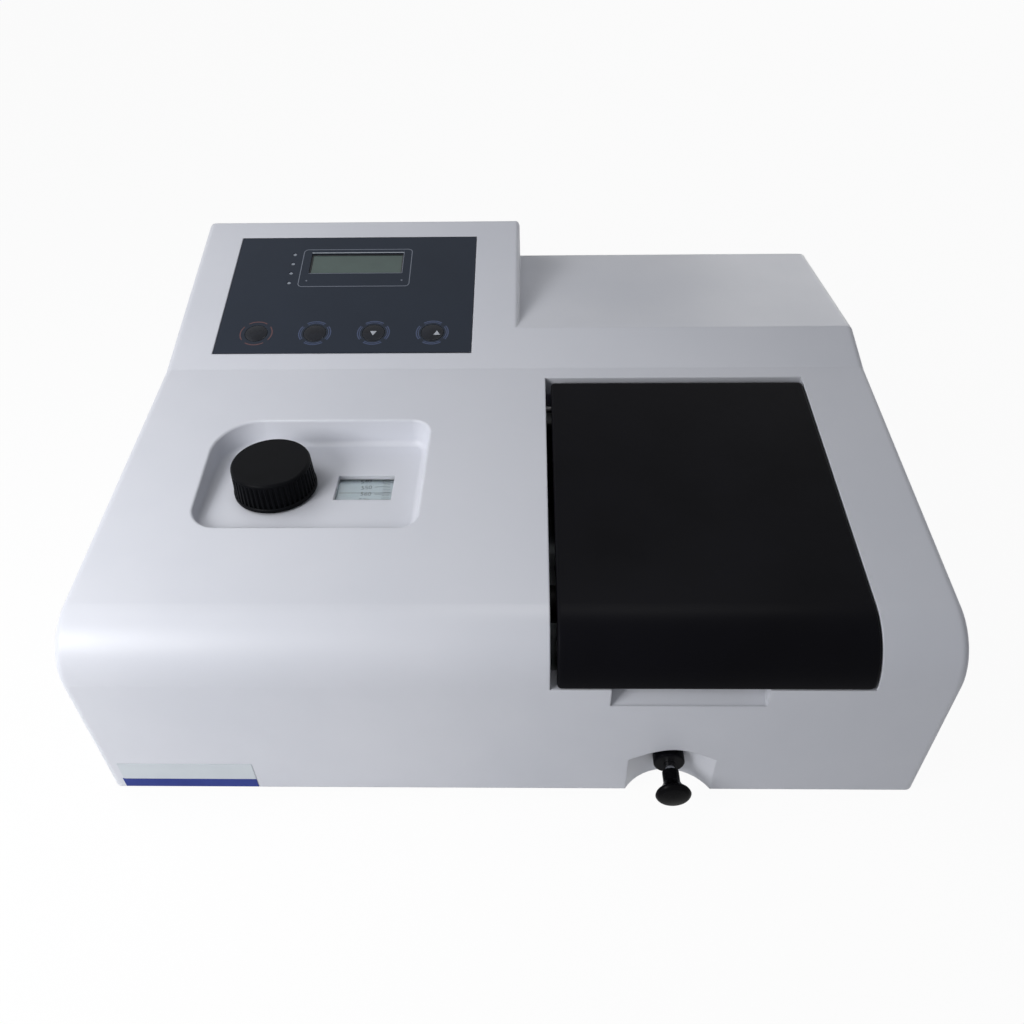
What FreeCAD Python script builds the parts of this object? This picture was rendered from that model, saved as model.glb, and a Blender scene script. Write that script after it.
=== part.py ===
import FreeCAD, Part
import Sketcher
import math
import os
import re

# Visible spectrophotometer: a moulded cover on a steel base plate, with a sample compartment
# under a hinged lid, a grating monochromator driven by a knob and cam, a lamp house,
# a detector, and a sloping console with a display and four keys.
#
# Casing coordinates, used by every formula below: X runs to the right from the left side,
# Y runs back from the front face, Z runs up from the casing's lower edge. Millimetres.

Vector = FreeCAD.Vector
Rotation = FreeCAD.Rotation
Placement = FreeCAD.Placement

# Driving dimensions
SIZES = {
    # Casing
    "casing_width": 460,
    "casing_depth": 387,
    "wall": 3,
    "front_radius": 32,
    "deck_height": 120.5,
    "deck_slope": 6,
    "deck_depth": 220,
    "console_slope": 15,
    "console_depth": 364,
    "console_width": 234,
    "console_back_height": 152,
    "rear_crease_depth": 256,
    "rear_slope": 4,
    "side_round": 5,
    "console_round": 3,
    "fit_gap": 0.4,
    # Feet and base plate
    "foot_height": 8,
    "foot_radius": 11,
    "foot_inset": 34,
    "plate_thickness": 2,
    "plate_recess": 1.5,
    "plate_flange": 12,
    "base_screw_radius": 2,
    "boss_radius": 4.6,
    "boss_height": 34,
    "boss_inset": 7,
    # Knob pocket and dial window
    "pocket_left": 53,
    "pocket_right": 177,
    "pocket_front": 83,
    "pocket_back": 165.5,
    "pocket_floor": 122.5,
    "pocket_large_radius": 24,
    "pocket_front_radius": 14,
    "pocket_small_radius": 8,
    "pocket_draft": 14,
    "pocket_floor_round": 4,
    "pocket_rim_round": 1.5,
    "window_left": 127,
    "window_width": 33.5,
    "window_front": 112,
    "window_length": 22.3,
    "window_glass": 1.2,
    # Wavelength knob, shaft, dial
    "knob_x": 91.7,
    "knob_y": 122.5,
    "knob_top_radius": 22.8,
    "knob_skirt_radius": 24.1,
    "knob_height": 19.6,
    "knob_gap": 0.5,
    "knob_flutes": 48,
    "flute_radius": 1,
    "shaft_radius": 4,
    "dial_radius": 71,
    "dial_thickness": 1.5,
    "dial_gap": 1,
    # Cam, follower and grating
    "cam_thickness": 6,
    "cam_level": 101,
    "grating_x": 140,
    "grating_y": 168,
    "spindle_radius": 4,
    "follower_length": 48,
    "roller_radius": 5,
    "roller_gap": 0.15,
    "spring_pitch": 1.6,
    "spring_thickness": 0.5,
    "follower_rest_angle": 24.1,
    "follower_ratio": 0.0772,
    "wavelength_low": -149,
    "wavelength_high": 188,
    "grating_side": 30,
    "grating_depth": 8,
    # Monochromator case
    "case_left": 18,
    "case_right": 232,
    "case_front": 58,
    "case_back": 216,
    "case_top": 88,
    "case_wall": 4,
    "case_lid": 4,
    "mirror_radius": 20,
    "mirror_depth": 8,
    # Beam and sample compartment
    "beam_y": 106.5,
    "beam_z": 40,
    "chamber_left": 261,
    "chamber_right": 409,
    "chamber_front": 31,
    "chamber_back": 169,
    "chamber_wall": 3,
    "chamber_top": 97,
    "chamber_flange": 7,
    "seal_height": 3,
    "lid_left": 255.1,
    "lid_right": 415.6,
    "lid_back": 205,
    "lid_drop": 0.5,
    "lid_skin": 2.6,
    "lid_skirt": 10,
    "lid_proud": 0.5,
    "lid_side_gap": 0.6,
    "lid_channel": 3.6,
    "lid_back_gap": 5,
    "hinge_y": 187,
    "hinge_drop": 6.5,
    "hinge_pin_radius": 2,
    "hinge_gap": 0.05,
    # Cell carriage and pull rod
    "rod_x": 320,
    "rod_z": 17.2,
    "rod_radius": 3,
    "cell_pitch": 15,
    "cell_side": 12.7,
    "cell_floor": 25,
    "carriage_front": 98,
    "carriage_length": 64,
    "carriage_top": 60,
    "carriage_width": 24,
    "carriage_slide_width": 90,
    "rail_radius": 3,
    "rail_spacing": 70,
    "rail_z": 15,
    "slide_gap": 0.05,
    "pull_knob_radius": 9.9,
    "pull_knob_neck": 4.7,
    "pull_knob_front": -17.4,
    "pull_knob_length": 17,
    "bush_radius": 8.8,
    # Scoop round the pull rod and recess under the lid
    "scoop_radius": 29,
    "scoop_axis": 16,
    "scoop_side_height": 28.6,
    "scoop_crown": 38.3,
    "recess_left": 283,
    "recess_right": 363.3,
    "recess_bottom": 77.4,
    "recess_depth": 12,
    # Console panel, display and keys, measured along the console's slope
    "panel_left": 29.3,
    "panel_width": 173,
    "panel_low": 14.5,
    "panel_length": 117,
    "panel_thickness": 1,
    "panel_proud": 0.2,
    "display_left": 83,
    "display_width": 67,
    "display_low": 92.7,
    "display_length": 21.5,
    "led_x": 70.4,
    "led_low": 83,
    "led_pitch": 10,
    "led_radius": 1.3,
    "key_x": 55.5,
    "key_pitch": 40,
    "key_row": 33,
    "key_radius": 7.5,
    "key_gap": 0.3,
    "key_travel": 0.5,
    "stem_radius": 2.5,
    "board_drop": 9,
    "board_thickness": 1.6,
    "board_width": 150,
    "board_depth": 100,
    "core_width": 64,
    "core_depth": 24,
    "core_height": 54,
    # Lamp house, electronics and rear panel
    "lamp_house_left": 262,
    "lamp_house_width": 92,
    "lamp_house_front": 236,
    "lamp_house_length": 88,
    "lamp_house_height": 92,
    "sheet_thickness": 1.5,
    "light_x": 205,
    "light_y": 280,
    "rear_panel_thickness": 1.6,
    "rear_panel_margin": 14,
    "rear_panel_height": 112,
    "rear_panel_ledge": 8,
    "rear_proud": 3,
    "inlet_x": 92,
    "inlet_z": 40,
    "switch_x": 140,
    "vent_width": 3,
    "vent_height": 34,
    "vent_pitch": 7,
    "lens_radius": 13,
    "tip_flat": 0.5,
    "rocker_height": 18.4,
    "rocker_width": 13.4,
    "rocker_tilt": 6,
}

WORD = re.compile(r"[A-Za-z_]+")

doc = FreeCAD.newDocument("Spectrophotometer")
sheet = doc.addObject("Spreadsheet::Sheet", "Sizes")


def fill_sheet():
    """Write every driving dimension into the sheet, one row each, with its name as alias."""
    for row, (alias, number) in enumerate(SIZES.items(), start=1):
        sheet.set(f"A{row}", alias)
        sheet.set(f"B{row}", str(number))
        sheet.setAlias(f"B{row}", alias)
    doc.recompute()


def bind(formula):
    """Turn a formula of size names into an expression that an object can hold."""
    def prefixed(match):
        word = match.group()
        return f"Sizes.{word}" if word in SIZES else word
    return WORD.sub(prefixed, str(formula))


def number(formula):
    """Work out a formula of size names from the sheet."""
    if isinstance(formula, (int, float)):
        return float(formula)
    result = sheet.evalExpression(bind(formula))
    return float(getattr(result, "Value", result))


def is_formula(value):
    return isinstance(value, str) and WORD.search(value) is not None


def bind_property(item, path, value):
    """Set a property to a number, or tie it to a formula."""
    if is_formula(value):
        item.setExpression(path, bind(value))
    else:
        setattr(item, path, number(value))


# Named places worked out from the sizes
FRONT_TANGENT = "(front_radius * tan(45 - deck_slope / 2))"
CREASE_HEIGHT = "(deck_height + deck_depth * tan(deck_slope))"
CONSOLE_HEIGHT = f"({CREASE_HEIGHT} + (console_depth - deck_depth) * tan(console_slope))"
REAR_CREASE_HEIGHT = f"({CREASE_HEIGHT} + (rear_crease_depth - deck_depth) * tan(console_slope))"
REAR_HEIGHT = f"({REAR_CREASE_HEIGHT} - (casing_depth - rear_crease_depth) * tan(rear_slope))"
PLATE_TOP = "(plate_recess + plate_thickness)"
SHELL_FLOOR = "(pocket_floor - wall)"
DIAL_TOP = "(pocket_floor - wall - window_glass - dial_gap)"
CASE_LID_TOP = "(case_top + case_lid)"
HINGE_Z = "(deck_height + hinge_y * tan(deck_slope) - hinge_drop)"
OPENING_LEFT = "(lid_left - lid_channel)"
OPENING_RIGHT = "(lid_right + lid_side_gap)"
OPENING_BACK = "(lid_back + lid_back_gap)"
LID_BOTTOM = f"(deck_height - {FRONT_TANGENT} - lid_drop)"
OPENING_BOTTOM = f"({LID_BOTTOM} - lid_side_gap)"
CHAMBER_RIM = "(chamber_top + chamber_wall)"
SEAL_TOP = f"({CHAMBER_RIM} + seal_height)"
FRONT_OFFSET = "(-(casing_depth + rear_proud + pull_knob_front) / 2)"
BOARD_TOP = "(board_thickness - board_drop)"
CASE_FLOOR = f"({PLATE_TOP} + case_wall)"


def deck_height_at(depth):
    """Height of the deck's surface at a distance back from the front face."""
    return f"(deck_height + ({depth}) * tan(deck_slope))"


# Placing
def place(item, x=0, y=0, z=0, rotation=None):
    """Place a sub-part whose local origin lies at casing coordinates x, y, z."""
    item.Placement = Placement(Vector(0, 0, 0), rotation or Rotation())
    item.setExpression("Placement.Base.x", bind(f"({x}) - casing_width / 2"))
    item.setExpression("Placement.Base.y", bind(f"({y}) + {FRONT_OFFSET}"))
    item.setExpression("Placement.Base.z", bind(f"({z}) + foot_height"))
    return item


def place_on_console(item, x, along, up):
    """Place a sub-part on the console: along its slope from the crease, and up from its face."""
    y = f"deck_depth + ({along}) * cos(console_slope) - ({up}) * sin(console_slope)"
    z = f"{CREASE_HEIGHT} + ({along}) * sin(console_slope) + ({up}) * cos(console_slope)"
    place(item, x, y, z, Rotation(Vector(1, 0, 0), number("console_slope")))
    item.setExpression("Placement.Rotation.Angle", bind("console_slope"))
    return item


# Sketching
def new_body(label):
    body = doc.addObject("PartDesign::Body", label)
    body.Label = label
    return body


def origin_plane(body, role):
    return next(plane for plane in body.Origin.OriginFeatures if plane.Role == role)


def new_sketch(body, name, role, offset=0, tilt=None):
    """Add a sketch on one of the body's origin planes, moved along the plane's normal.

    tilt is (origin x, origin y, origin z, angle) for a plane turned about its own X axis.
    """
    sketch = body.newObject("Sketcher::SketchObject", name)
    sketch.AttachmentSupport = [(origin_plane(body, role), "")]
    sketch.MapMode = "FlatFace"
    if tilt is not None:
        x, y, z, angle = tilt
        sketch.AttachmentOffset = Placement(Vector(), Rotation(Vector(1, 0, 0), number(angle)))
        for axis, formula in zip("xyz", (x, y, z)):
            sketch.setExpression(f"AttachmentOffset.Base.{axis}", bind(formula))
        sketch.setExpression("AttachmentOffset.Rotation.Angle", bind(angle))
    elif offset != 0:
        sketch.setExpression("AttachmentOffset.Base.z", bind(offset))
    return sketch


def arc_through(start, end, radius):
    """A minor arc from start to end. A positive radius turns left, a negative one right."""
    chord = end - start
    half = chord.Length / 2
    left = Vector(-chord.y, chord.x, 0).normalize()
    rise = math.sqrt(max(radius * radius - half * half, 0))
    side = 1 if radius > 0 else -1
    centre = (start + end) * 0.5 + left * (rise * side)
    first, last = (start, end) if radius > 0 else (end, start)
    angles = [math.atan2(p.y - centre.y, p.x - centre.x) for p in (first, last)]
    return Part.ArcOfCircle(Part.Circle(centre, Vector(0, 0, 1), abs(radius)), *angles)


def constrain(sketch, wanted):
    """Add constraints, each with the formula of its size, and tie each size to its formula."""
    first = sketch.ConstraintCount
    sketch.addConstraint([Sketcher.Constraint(*terms) for terms, _ in wanted])
    for index, (_, formula) in enumerate(wanted, start=first):
        if is_formula(formula):
            sketch.setExpression(f"Constraints[{index}]", bind(formula))


def pinned(geometry, point, x, y):
    """The two distances that fix a point from the sketch's origin."""
    return [
        (("DistanceX", -1, 1, geometry, point, number(x)), x),
        (("DistanceY", -1, 1, geometry, point, number(y)), y),
    ]


def draw_loop(sketch, corners):
    """Draw a closed outline. Each corner is (x, y), or (x, y, radius) where an arc leads to it."""
    points = [Vector(number(c[0]), number(c[1]), 0) for c in corners]
    first = sketch.GeometryCount
    shapes, ends, wanted = [], [], []
    for index, corner in enumerate(corners):
        start, end = points[index - 1], points[index]
        right_turn = False
        if len(corner) == 3:
            radius = number(corner[2])
            right_turn = radius < 0
            shapes.append(arc_through(start, end, radius))
            size = str(corner[2]).removeprefix("-")
            wanted.append((("Radius", first + index, abs(radius)), size))
        else:
            shapes.append(Part.LineSegment(start, end))
        ends.append((2, 1) if right_turn else (1, 2))
    for index, corner in enumerate(corners):
        after = (index + 1) % len(corners)
        finish = ends[index][1]
        joined = ("Coincident", first + index, finish, first + after, ends[after][0])
        wanted.append((joined, None))
        wanted += pinned(first + index, finish, corner[0], corner[1])
    sketch.addGeometry(shapes, False)
    constrain(sketch, wanted)


def draw_circle(sketch, x, y, radius):
    circle = Part.Circle(Vector(number(x), number(y), 0), Vector(0, 0, 1), number(radius))
    geometry = sketch.addGeometry(circle, False)
    constrain(sketch, [(("Radius", geometry, number(radius)), radius), *pinned(geometry, 3, x, y)])


def rectangle(left, low, right, high):
    return [(left, low), (right, low), (right, high), (left, high)]


def rounded_rectangle(left, low, right, high, radius, high_left=None, low_left=None):
    """A rectangle with rounded corners, where the two left ones can have their own radius."""
    upper, lower = high_left or radius, low_left or radius
    return [
        (f"({right}) - {radius}", low),
        (right, f"({low}) + {radius}", radius),
        (right, f"({high}) - {radius}"),
        (f"({right}) - {radius}", high, radius),
        (f"({left}) + {upper}", high),
        (left, f"({high}) - {upper}", upper),
        (left, f"({low}) + {lower}"),
        (f"({left}) + {lower}", low, lower),
    ]


# Features
def pad(body, sketch, length, reverse=False, middle=False):
    feature = body.newObject("PartDesign::Pad", f"{sketch.Name}_pad")
    feature.Profile = sketch
    feature.Reversed = reverse
    if middle:
        feature.SideType = "Symmetric"
    bind_property(feature, "Length", length)
    sketch.Visibility = False
    return feature


def cut(body, sketch, length, reverse=False, middle=False, draft=None):
    feature = body.newObject("PartDesign::Pocket", f"{sketch.Name}_cut")
    feature.Profile = sketch
    feature.Reversed = reverse
    if middle:
        feature.SideType = "Symmetric"
    bind_property(feature, "Length", length)
    if draft is not None:
        bind_property(feature, "TaperAngle", draft)
    return feature


def turn(body, sketch, kind="Revolution", axis="V_Axis"):
    feature = body.newObject(f"PartDesign::{kind}", f"{sketch.Name}_turn")
    feature.Profile = sketch
    feature.ReferenceAxis = (sketch, [axis])
    feature.Angle = 360
    return feature


def repeat(body, feature, sketch, axis, pitch, count):
    """Repeat a feature in a row along one axis of its sketch."""
    pattern = body.newObject("PartDesign::LinearPattern", f"{feature.Name}_row")
    pattern.Originals = [feature]
    pattern.Direction = (sketch, [axis])
    pattern.Occurrences = count
    bind_property(pattern, "Length", f"({pitch}) * {count - 1}")
    body.Tip = pattern
    return pattern


def soften(body, base, radius, chosen, kind="Fillet"):
    """Round or bevel the edges of a feature that a test chooses."""
    doc.recompute()
    names = [f"Edge{i}" for i, edge in enumerate(base.Shape.Edges, start=1) if chosen(edge)]
    feature = body.newObject(f"PartDesign::{kind}", f"{base.Name}_{kind.lower()}")
    feature.Base = (base, names)
    bind_property(feature, "Radius" if kind == "Fillet" else "Size", radius)
    return feature


def near(value, target, tolerance=0.02):
    return abs(value - number(target)) < tolerance


def spans(edge, axis):
    """True for a straight edge along one axis."""
    box = edge.BoundBox
    lengths = {"x": box.XLength, "y": box.YLength, "z": box.ZLength}
    return all((length > 0.1) == (name == axis) for name, length in lengths.items())


# Simple solids
def settle(item, corner, rotation):
    """Place a simple solid by its corner or start, tied to those of its values that are formulas."""
    item.Placement = Placement(Vector(*[number(value) for value in corner]), rotation)
    for axis, value in zip("xyz", corner):
        if is_formula(value):
            item.setExpression(f"Placement.Base.{axis}", bind(value))
    return item


def block(name, corner, lengths):
    """A box from its lowest corner and its three lengths, all as formulas."""
    item = doc.addObject("Part::Box", name)
    for path, formula in zip(("Length", "Width", "Height"), lengths):
        bind_property(item, path, formula)
    return settle(item, corner, Rotation())


TURNS = {
    "x": Rotation(Vector(0, 1, 0), 90),
    "y": Rotation(Vector(1, 0, 0), -90),
    "z": Rotation(),
}


def rod(name, start, radius, length, axis="z"):
    """A cylinder that starts at a point and runs along an axis."""
    item = doc.addObject("Part::Cylinder", name)
    bind_property(item, "Radius", radius)
    bind_property(item, "Height", length)
    return settle(item, start, TURNS[axis])


def join(name, pieces):
    item = doc.addObject("Part::MultiFuse", name)
    item.Shapes = pieces
    return item


def group(name, pieces):
    item = doc.addObject("Part::Compound", name)
    item.Links = pieces
    return item


def remove(name, base, tools):
    item = doc.addObject("Part::Cut", name)
    item.Base = base
    item.Tool = tools[0] if len(tools) == 1 else join(f"{name}_tools", tools)
    return item


fill_sheet()


# Places shared by several sub-parts
PANEL_SCREWS = [
    (x, z)
    for x in ("rear_panel_margin + rear_panel_ledge / 2", "casing_width / 2",
              "casing_width - rear_panel_margin - rear_panel_ledge / 2")
    for z in ("rear_panel_margin + rear_panel_ledge / 2",
              "rear_panel_margin + rear_panel_height - rear_panel_ledge / 2")
]
BOSS_PLACES = [
    (x, y)
    for x in ("boss_inset", "casing_width - boss_inset")
    for y in ("casing_depth * 0.2", "casing_depth * 0.8")
]
BOARD_POSTS = [
    (x, along)
    for x in ("panel_left + 14", "panel_left + panel_width - 11")
    for along in ("panel_low + 9", "panel_low + panel_length - 12")
]


# Casing
def skin(inset, low, back):
    """The casing's front and deck line in the Y-Z plane, inset from its face, front to back."""
    radius = f"front_radius - ({inset})"
    centre_y = "front_radius"
    centre_z = f"deck_height - {FRONT_TANGENT}"
    return [
        (inset, low),
        (inset, centre_z),
        (
            f"{centre_y} - ({radius}) * sin(deck_slope)",
            f"{centre_z} + ({radius}) * cos(deck_slope)",
            f"-({radius})",
        ),
        (back, f"{deck_height_at(back)} - ({inset}) / cos(deck_slope)"),
    ]


def band(outer, inner, low, back):
    """A closed strip between two insets of the front and deck line."""
    outside = skin(outer, low, back)
    inside = skin(inner, low, back)
    radius = inside[2][2].removeprefix("-")
    return [
        *outside,
        inside[3],
        inside[2][:2],
        (inside[1][0], inside[1][1], radius),
        inside[0],
    ]


def casing_outline(inset, low):
    """The casing's side outline without the console."""
    drop = f"({inset}) / cos(deck_slope)"
    back = f"casing_depth - ({inset})"
    return [
        *skin(inset, low, "deck_depth"),
        ("rear_crease_depth", f"{REAR_CREASE_HEIGHT} - {drop}"),
        (back, f"{REAR_HEIGHT} - {drop}"),
        (back, low),
    ]


def console_outline(inset):
    """The console block's side outline, which runs down into the casing behind it."""
    drop = f"({inset}) / cos(console_slope)"
    back = f"casing_depth - ({inset})"
    return [
        ("deck_depth", f"{CREASE_HEIGHT} - {drop}"),
        ("deck_depth", f"{CREASE_HEIGHT} - wall * 4"),
        (back, f"{CREASE_HEIGHT} - wall * 4"),
        (back, f"console_back_height - ({inset}) / 2"),
        (f"console_depth - ({inset}) / 2", f"{CONSOLE_HEIGHT} - {drop} * 1.1"),
    ]


def make_shell(body):
    """The hollow casing: outer blocks, rounded edges, then the inside taken out."""
    side = new_sketch(body, "casing_side", "YZ_Plane")
    draw_loop(side, casing_outline(0, 0))
    pad(body, side, "casing_width")
    console = new_sketch(body, "console_side", "YZ_Plane")
    draw_loop(console, console_outline(0))
    outer = pad(body, console, "console_width")

    def side_edge(edge):
        box = edge.BoundBox
        on_left = box.XMax < 0.01
        on_right = box.XMin > number("casing_width") - 0.01
        return (on_left or on_right) and box.ZMax > 1

    def console_edge(edge):
        box = edge.BoundBox
        return near(box.XMin, "console_width") and near(box.XMax, "console_width") \
            and box.ZMax > number(REAR_CREASE_HEIGHT) + 2

    sides = soften(body, outer, "side_round", side_edge)
    soften(body, sides, "console_round", console_edge)
    inside = new_sketch(body, "casing_inside", "YZ_Plane", "wall")
    draw_loop(inside, casing_outline("wall", -1))
    cut(body, inside, "casing_width - 2 * wall", reverse=True)
    console_inside = new_sketch(body, "console_inside", "YZ_Plane", "wall")
    draw_loop(console_inside, console_outline("wall"))
    cut(body, console_inside, "console_width - 2 * wall", reverse=True)


def make_lid_opening(body):
    """The opening under the lid, with a wall turned down all round it."""
    collar = new_sketch(body, "opening_collar", "YZ_Plane", f"{OPENING_LEFT} - wall")
    draw_loop(collar, band("wall / 2", "lid_skirt + wall", f"{OPENING_BOTTOM} - wall",
                           f"{OPENING_BACK} + wall"))
    pad(body, collar, f"{OPENING_RIGHT} - {OPENING_LEFT} + 2 * wall")
    opening = new_sketch(body, "lid_opening", "XZ_Plane")
    draw_loop(opening, rectangle(OPENING_LEFT, OPENING_BOTTOM, OPENING_RIGHT,
                                 f"{CREASE_HEIGHT} + wall"))
    opening.setExpression("AttachmentOffset.Base.z", bind(f"-({OPENING_BACK})"))
    cut(body, opening, f"{OPENING_BACK} + wall", reverse=True)
    bores = new_sketch(body, "pin_bores", "YZ_Plane", f"{OPENING_LEFT} - wall - 1")
    draw_circle(bores, "hinge_y", HINGE_Z, "hinge_pin_radius")
    cut(body, bores, f"{OPENING_RIGHT} - {OPENING_LEFT} + 2 * wall + 2", reverse=True)


def make_finger_recess(body):
    """A ramp in the front face, where fingers reach under the lid's edge."""
    backing = new_sketch(body, "recess_backing", "YZ_Plane", "recess_left - wall")
    draw_loop(backing, [
        ("wall / 2", "recess_bottom - wall"),
        ("recess_depth + wall", f"{OPENING_BOTTOM} - 2 * wall"),
        ("recess_depth + wall", OPENING_BOTTOM),
        ("wall / 2", OPENING_BOTTOM),
    ])
    pad(body, backing, "recess_right - recess_left + 2 * wall")
    ramp = new_sketch(body, "recess_ramp", "YZ_Plane", "recess_left")
    draw_loop(ramp, [
        ("-wall", "recess_bottom"),
        ("wall / 4", "recess_bottom"),
        ("recess_depth", f"{OPENING_BOTTOM} - wall"),
        ("recess_depth", f"{OPENING_BOTTOM} + wall"),
        ("-wall", f"{OPENING_BOTTOM} + wall"),
    ])
    cut(body, ramp, "recess_right - recess_left", reverse=True)


def scoop_profile(extra, low):
    """Half of the domed hollow round the pull rod, from its upright axis outwards."""
    radius = f"scoop_radius + ({extra})"
    crown = f"scoop_crown + ({extra})"
    side = f"scoop_side_height + ({extra})"
    return [
        (0, low),
        (radius, low),
        (radius, side),
        ("scoop_axis", crown),
        (0, crown),
    ]


def make_scoop(body):
    """The domed hollow at the foot of the front face, with its own wall behind."""
    backing = new_sketch(body, "scoop_backing", "XZ_Plane", "scoop_axis")
    backing.setExpression("AttachmentOffset.Base.x", bind("rod_x"))
    draw_loop(backing, scoop_profile("wall", 0))
    turn(body, backing)
    trim = new_sketch(body, "front_trim", "XZ_Plane")
    draw_loop(trim, rectangle("rod_x - 2 * scoop_radius", -1,
                              "rod_x + 2 * scoop_radius", "recess_bottom"))
    cut(body, trim, "2 * scoop_radius + scoop_axis", reverse=True)
    scoop = new_sketch(body, "scoop", "XZ_Plane", "scoop_axis")
    scoop.setExpression("AttachmentOffset.Base.x", bind("rod_x"))
    draw_loop(scoop, scoop_profile(0, -1))
    turn(body, scoop, "Groove")
    hole = new_sketch(body, "bush_hole", "XZ_Plane")
    draw_circle(hole, "rod_x", "rod_z", "bush_radius - 3")
    cut(body, hole, "scoop_radius")


def make_knob_pocket(body):
    """The sunken pocket for the knob, with a window over the dial in its level floor."""
    tub = new_sketch(body, "pocket_tub", "YZ_Plane", "pocket_left - 2 * wall")
    low = SHELL_FLOOR
    front, back = "pocket_front - 2 * wall", "pocket_back + 2 * wall"
    draw_loop(tub, [
        (front, low),
        (back, low),
        (back, f"{deck_height_at(back)} - wall / 2"),
        (front, f"{deck_height_at(front)} - wall / 2"),
    ])
    pad(body, tub, "pocket_right - pocket_left + 4 * wall")
    pocket = new_sketch(body, "knob_pocket", "XY_Plane", "pocket_floor")
    draw_loop(pocket, rounded_rectangle("pocket_left", "pocket_front", "pocket_right",
                                        "pocket_back", "pocket_small_radius",
                                        "pocket_large_radius", "pocket_front_radius"))
    bowl = cut(body, pocket, "deck_height", reverse=True, draft="pocket_draft")

    def on_floor(edge):
        box = edge.BoundBox
        return near(box.ZMin, "pocket_floor") and near(box.ZMax, "pocket_floor")

    def on_rim(edge):
        middle = edge.valueAt((edge.FirstParameter + edge.LastParameter) / 2)
        within = number("pocket_left") - 15 < middle.x < number("pocket_right") + 15 \
            and number("pocket_front") - 15 < middle.y < number("pocket_back") + 15
        return within and near(middle.z, deck_height_at(middle.y))

    floor = soften(body, bowl, "pocket_floor_round", on_floor)
    soften(body, floor, "pocket_rim_round", on_rim)
    window = new_sketch(body, "dial_opening", "XY_Plane", "pocket_floor + 1")
    draw_loop(window, rectangle("window_left", "window_front", "window_left + window_width",
                                "window_front + window_length"))
    draw_circle(window, "knob_x", "knob_y", "shaft_radius + 2")
    cut(body, window, "2 * wall")


def make_console_openings(body):
    """The shallow seat for the display panel, and the holes behind it."""
    face = (0, "deck_depth", CREASE_HEIGHT, "console_slope")
    seat = new_sketch(body, "panel_seat", "XY_Plane", tilt=face)
    draw_loop(seat, rectangle("panel_left - fit_gap", "panel_low - fit_gap",
                              "panel_left + panel_width + fit_gap",
                              "panel_low + panel_length + fit_gap"))
    cut(body, seat, "panel_thickness - panel_proud")
    holes = new_sketch(body, "panel_holes", "XY_Plane", tilt=face)
    draw_loop(holes, rectangle("display_left - wall", "display_low - wall",
                               "display_left + display_width + wall",
                               "display_low + display_length + wall"))
    for index in range(4):
        draw_circle(holes, "led_x", f"led_low + {index} * led_pitch", "led_radius + fit_gap")
        draw_circle(holes, f"key_x + {index} * key_pitch", "key_row", "key_radius + key_gap")
    cut(body, holes, "3 * wall")


def make_rear_opening(body):
    """The opening in the back wall, with a rebate that the rear panel lies in."""
    for name, inset, depth in (("rear_opening", "rear_panel_margin + rear_panel_ledge",
                                "2 * wall"),
                               ("rear_rebate", "rear_panel_margin - fit_gap",
                                "rear_panel_thickness")):
        sketch = new_sketch(body, name, "XZ_Plane", "-casing_depth")
        draw_loop(sketch, rectangle(inset, inset, f"casing_width - ({inset})",
                                    f"2 * rear_panel_margin + rear_panel_height - ({inset})"))
        cut(body, sketch, depth, reverse=True)
    holes = new_sketch(body, "rear_screw_holes", "XZ_Plane", "-casing_depth")
    for x, z in PANEL_SCREWS:
        draw_circle(holes, x, z, "base_screw_radius")
    cut(body, holes, "2 * wall", reverse=True)


def make_board_posts(body):
    """Four posts under the console's face, which the display board is screwed to."""
    posts = new_sketch(body, "board_posts", "XY_Plane", tilt=(
        0, "deck_depth + wall / 2 * sin(console_slope)",
        f"{CREASE_HEIGHT} - wall / 2 * cos(console_slope)", "console_slope"))
    for x, along in BOARD_POSTS:
        draw_circle(posts, x, along, 3)
    pad(body, posts, f"-({BOARD_TOP}) - wall / 2", reverse=True)


def make_bosses(body):
    """Screw bosses on the side walls, which stand on the base plate."""
    bosses = new_sketch(body, "bosses", "XY_Plane", PLATE_TOP)
    for x, y in BOSS_PLACES:
        draw_circle(bosses, x, y, "boss_radius")
    pad(body, bosses, "boss_height")
    pilots = new_sketch(body, "boss_pilots", "XY_Plane", PLATE_TOP)
    for x, y in BOSS_PLACES:
        draw_circle(pilots, x, y, "base_screw_radius")
    cut(body, pilots, "boss_height / 2", reverse=True)


def make_top_cover():
    """The moulded cover that gives the instrument its shape."""
    body = new_body("top_cover")
    make_shell(body)
    make_scoop(body)
    make_lid_opening(body)
    make_finger_recess(body)
    make_knob_pocket(body)
    make_console_openings(body)
    make_board_posts(body)
    make_rear_opening(body)
    make_bosses(body)
    return place(body)


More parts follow.
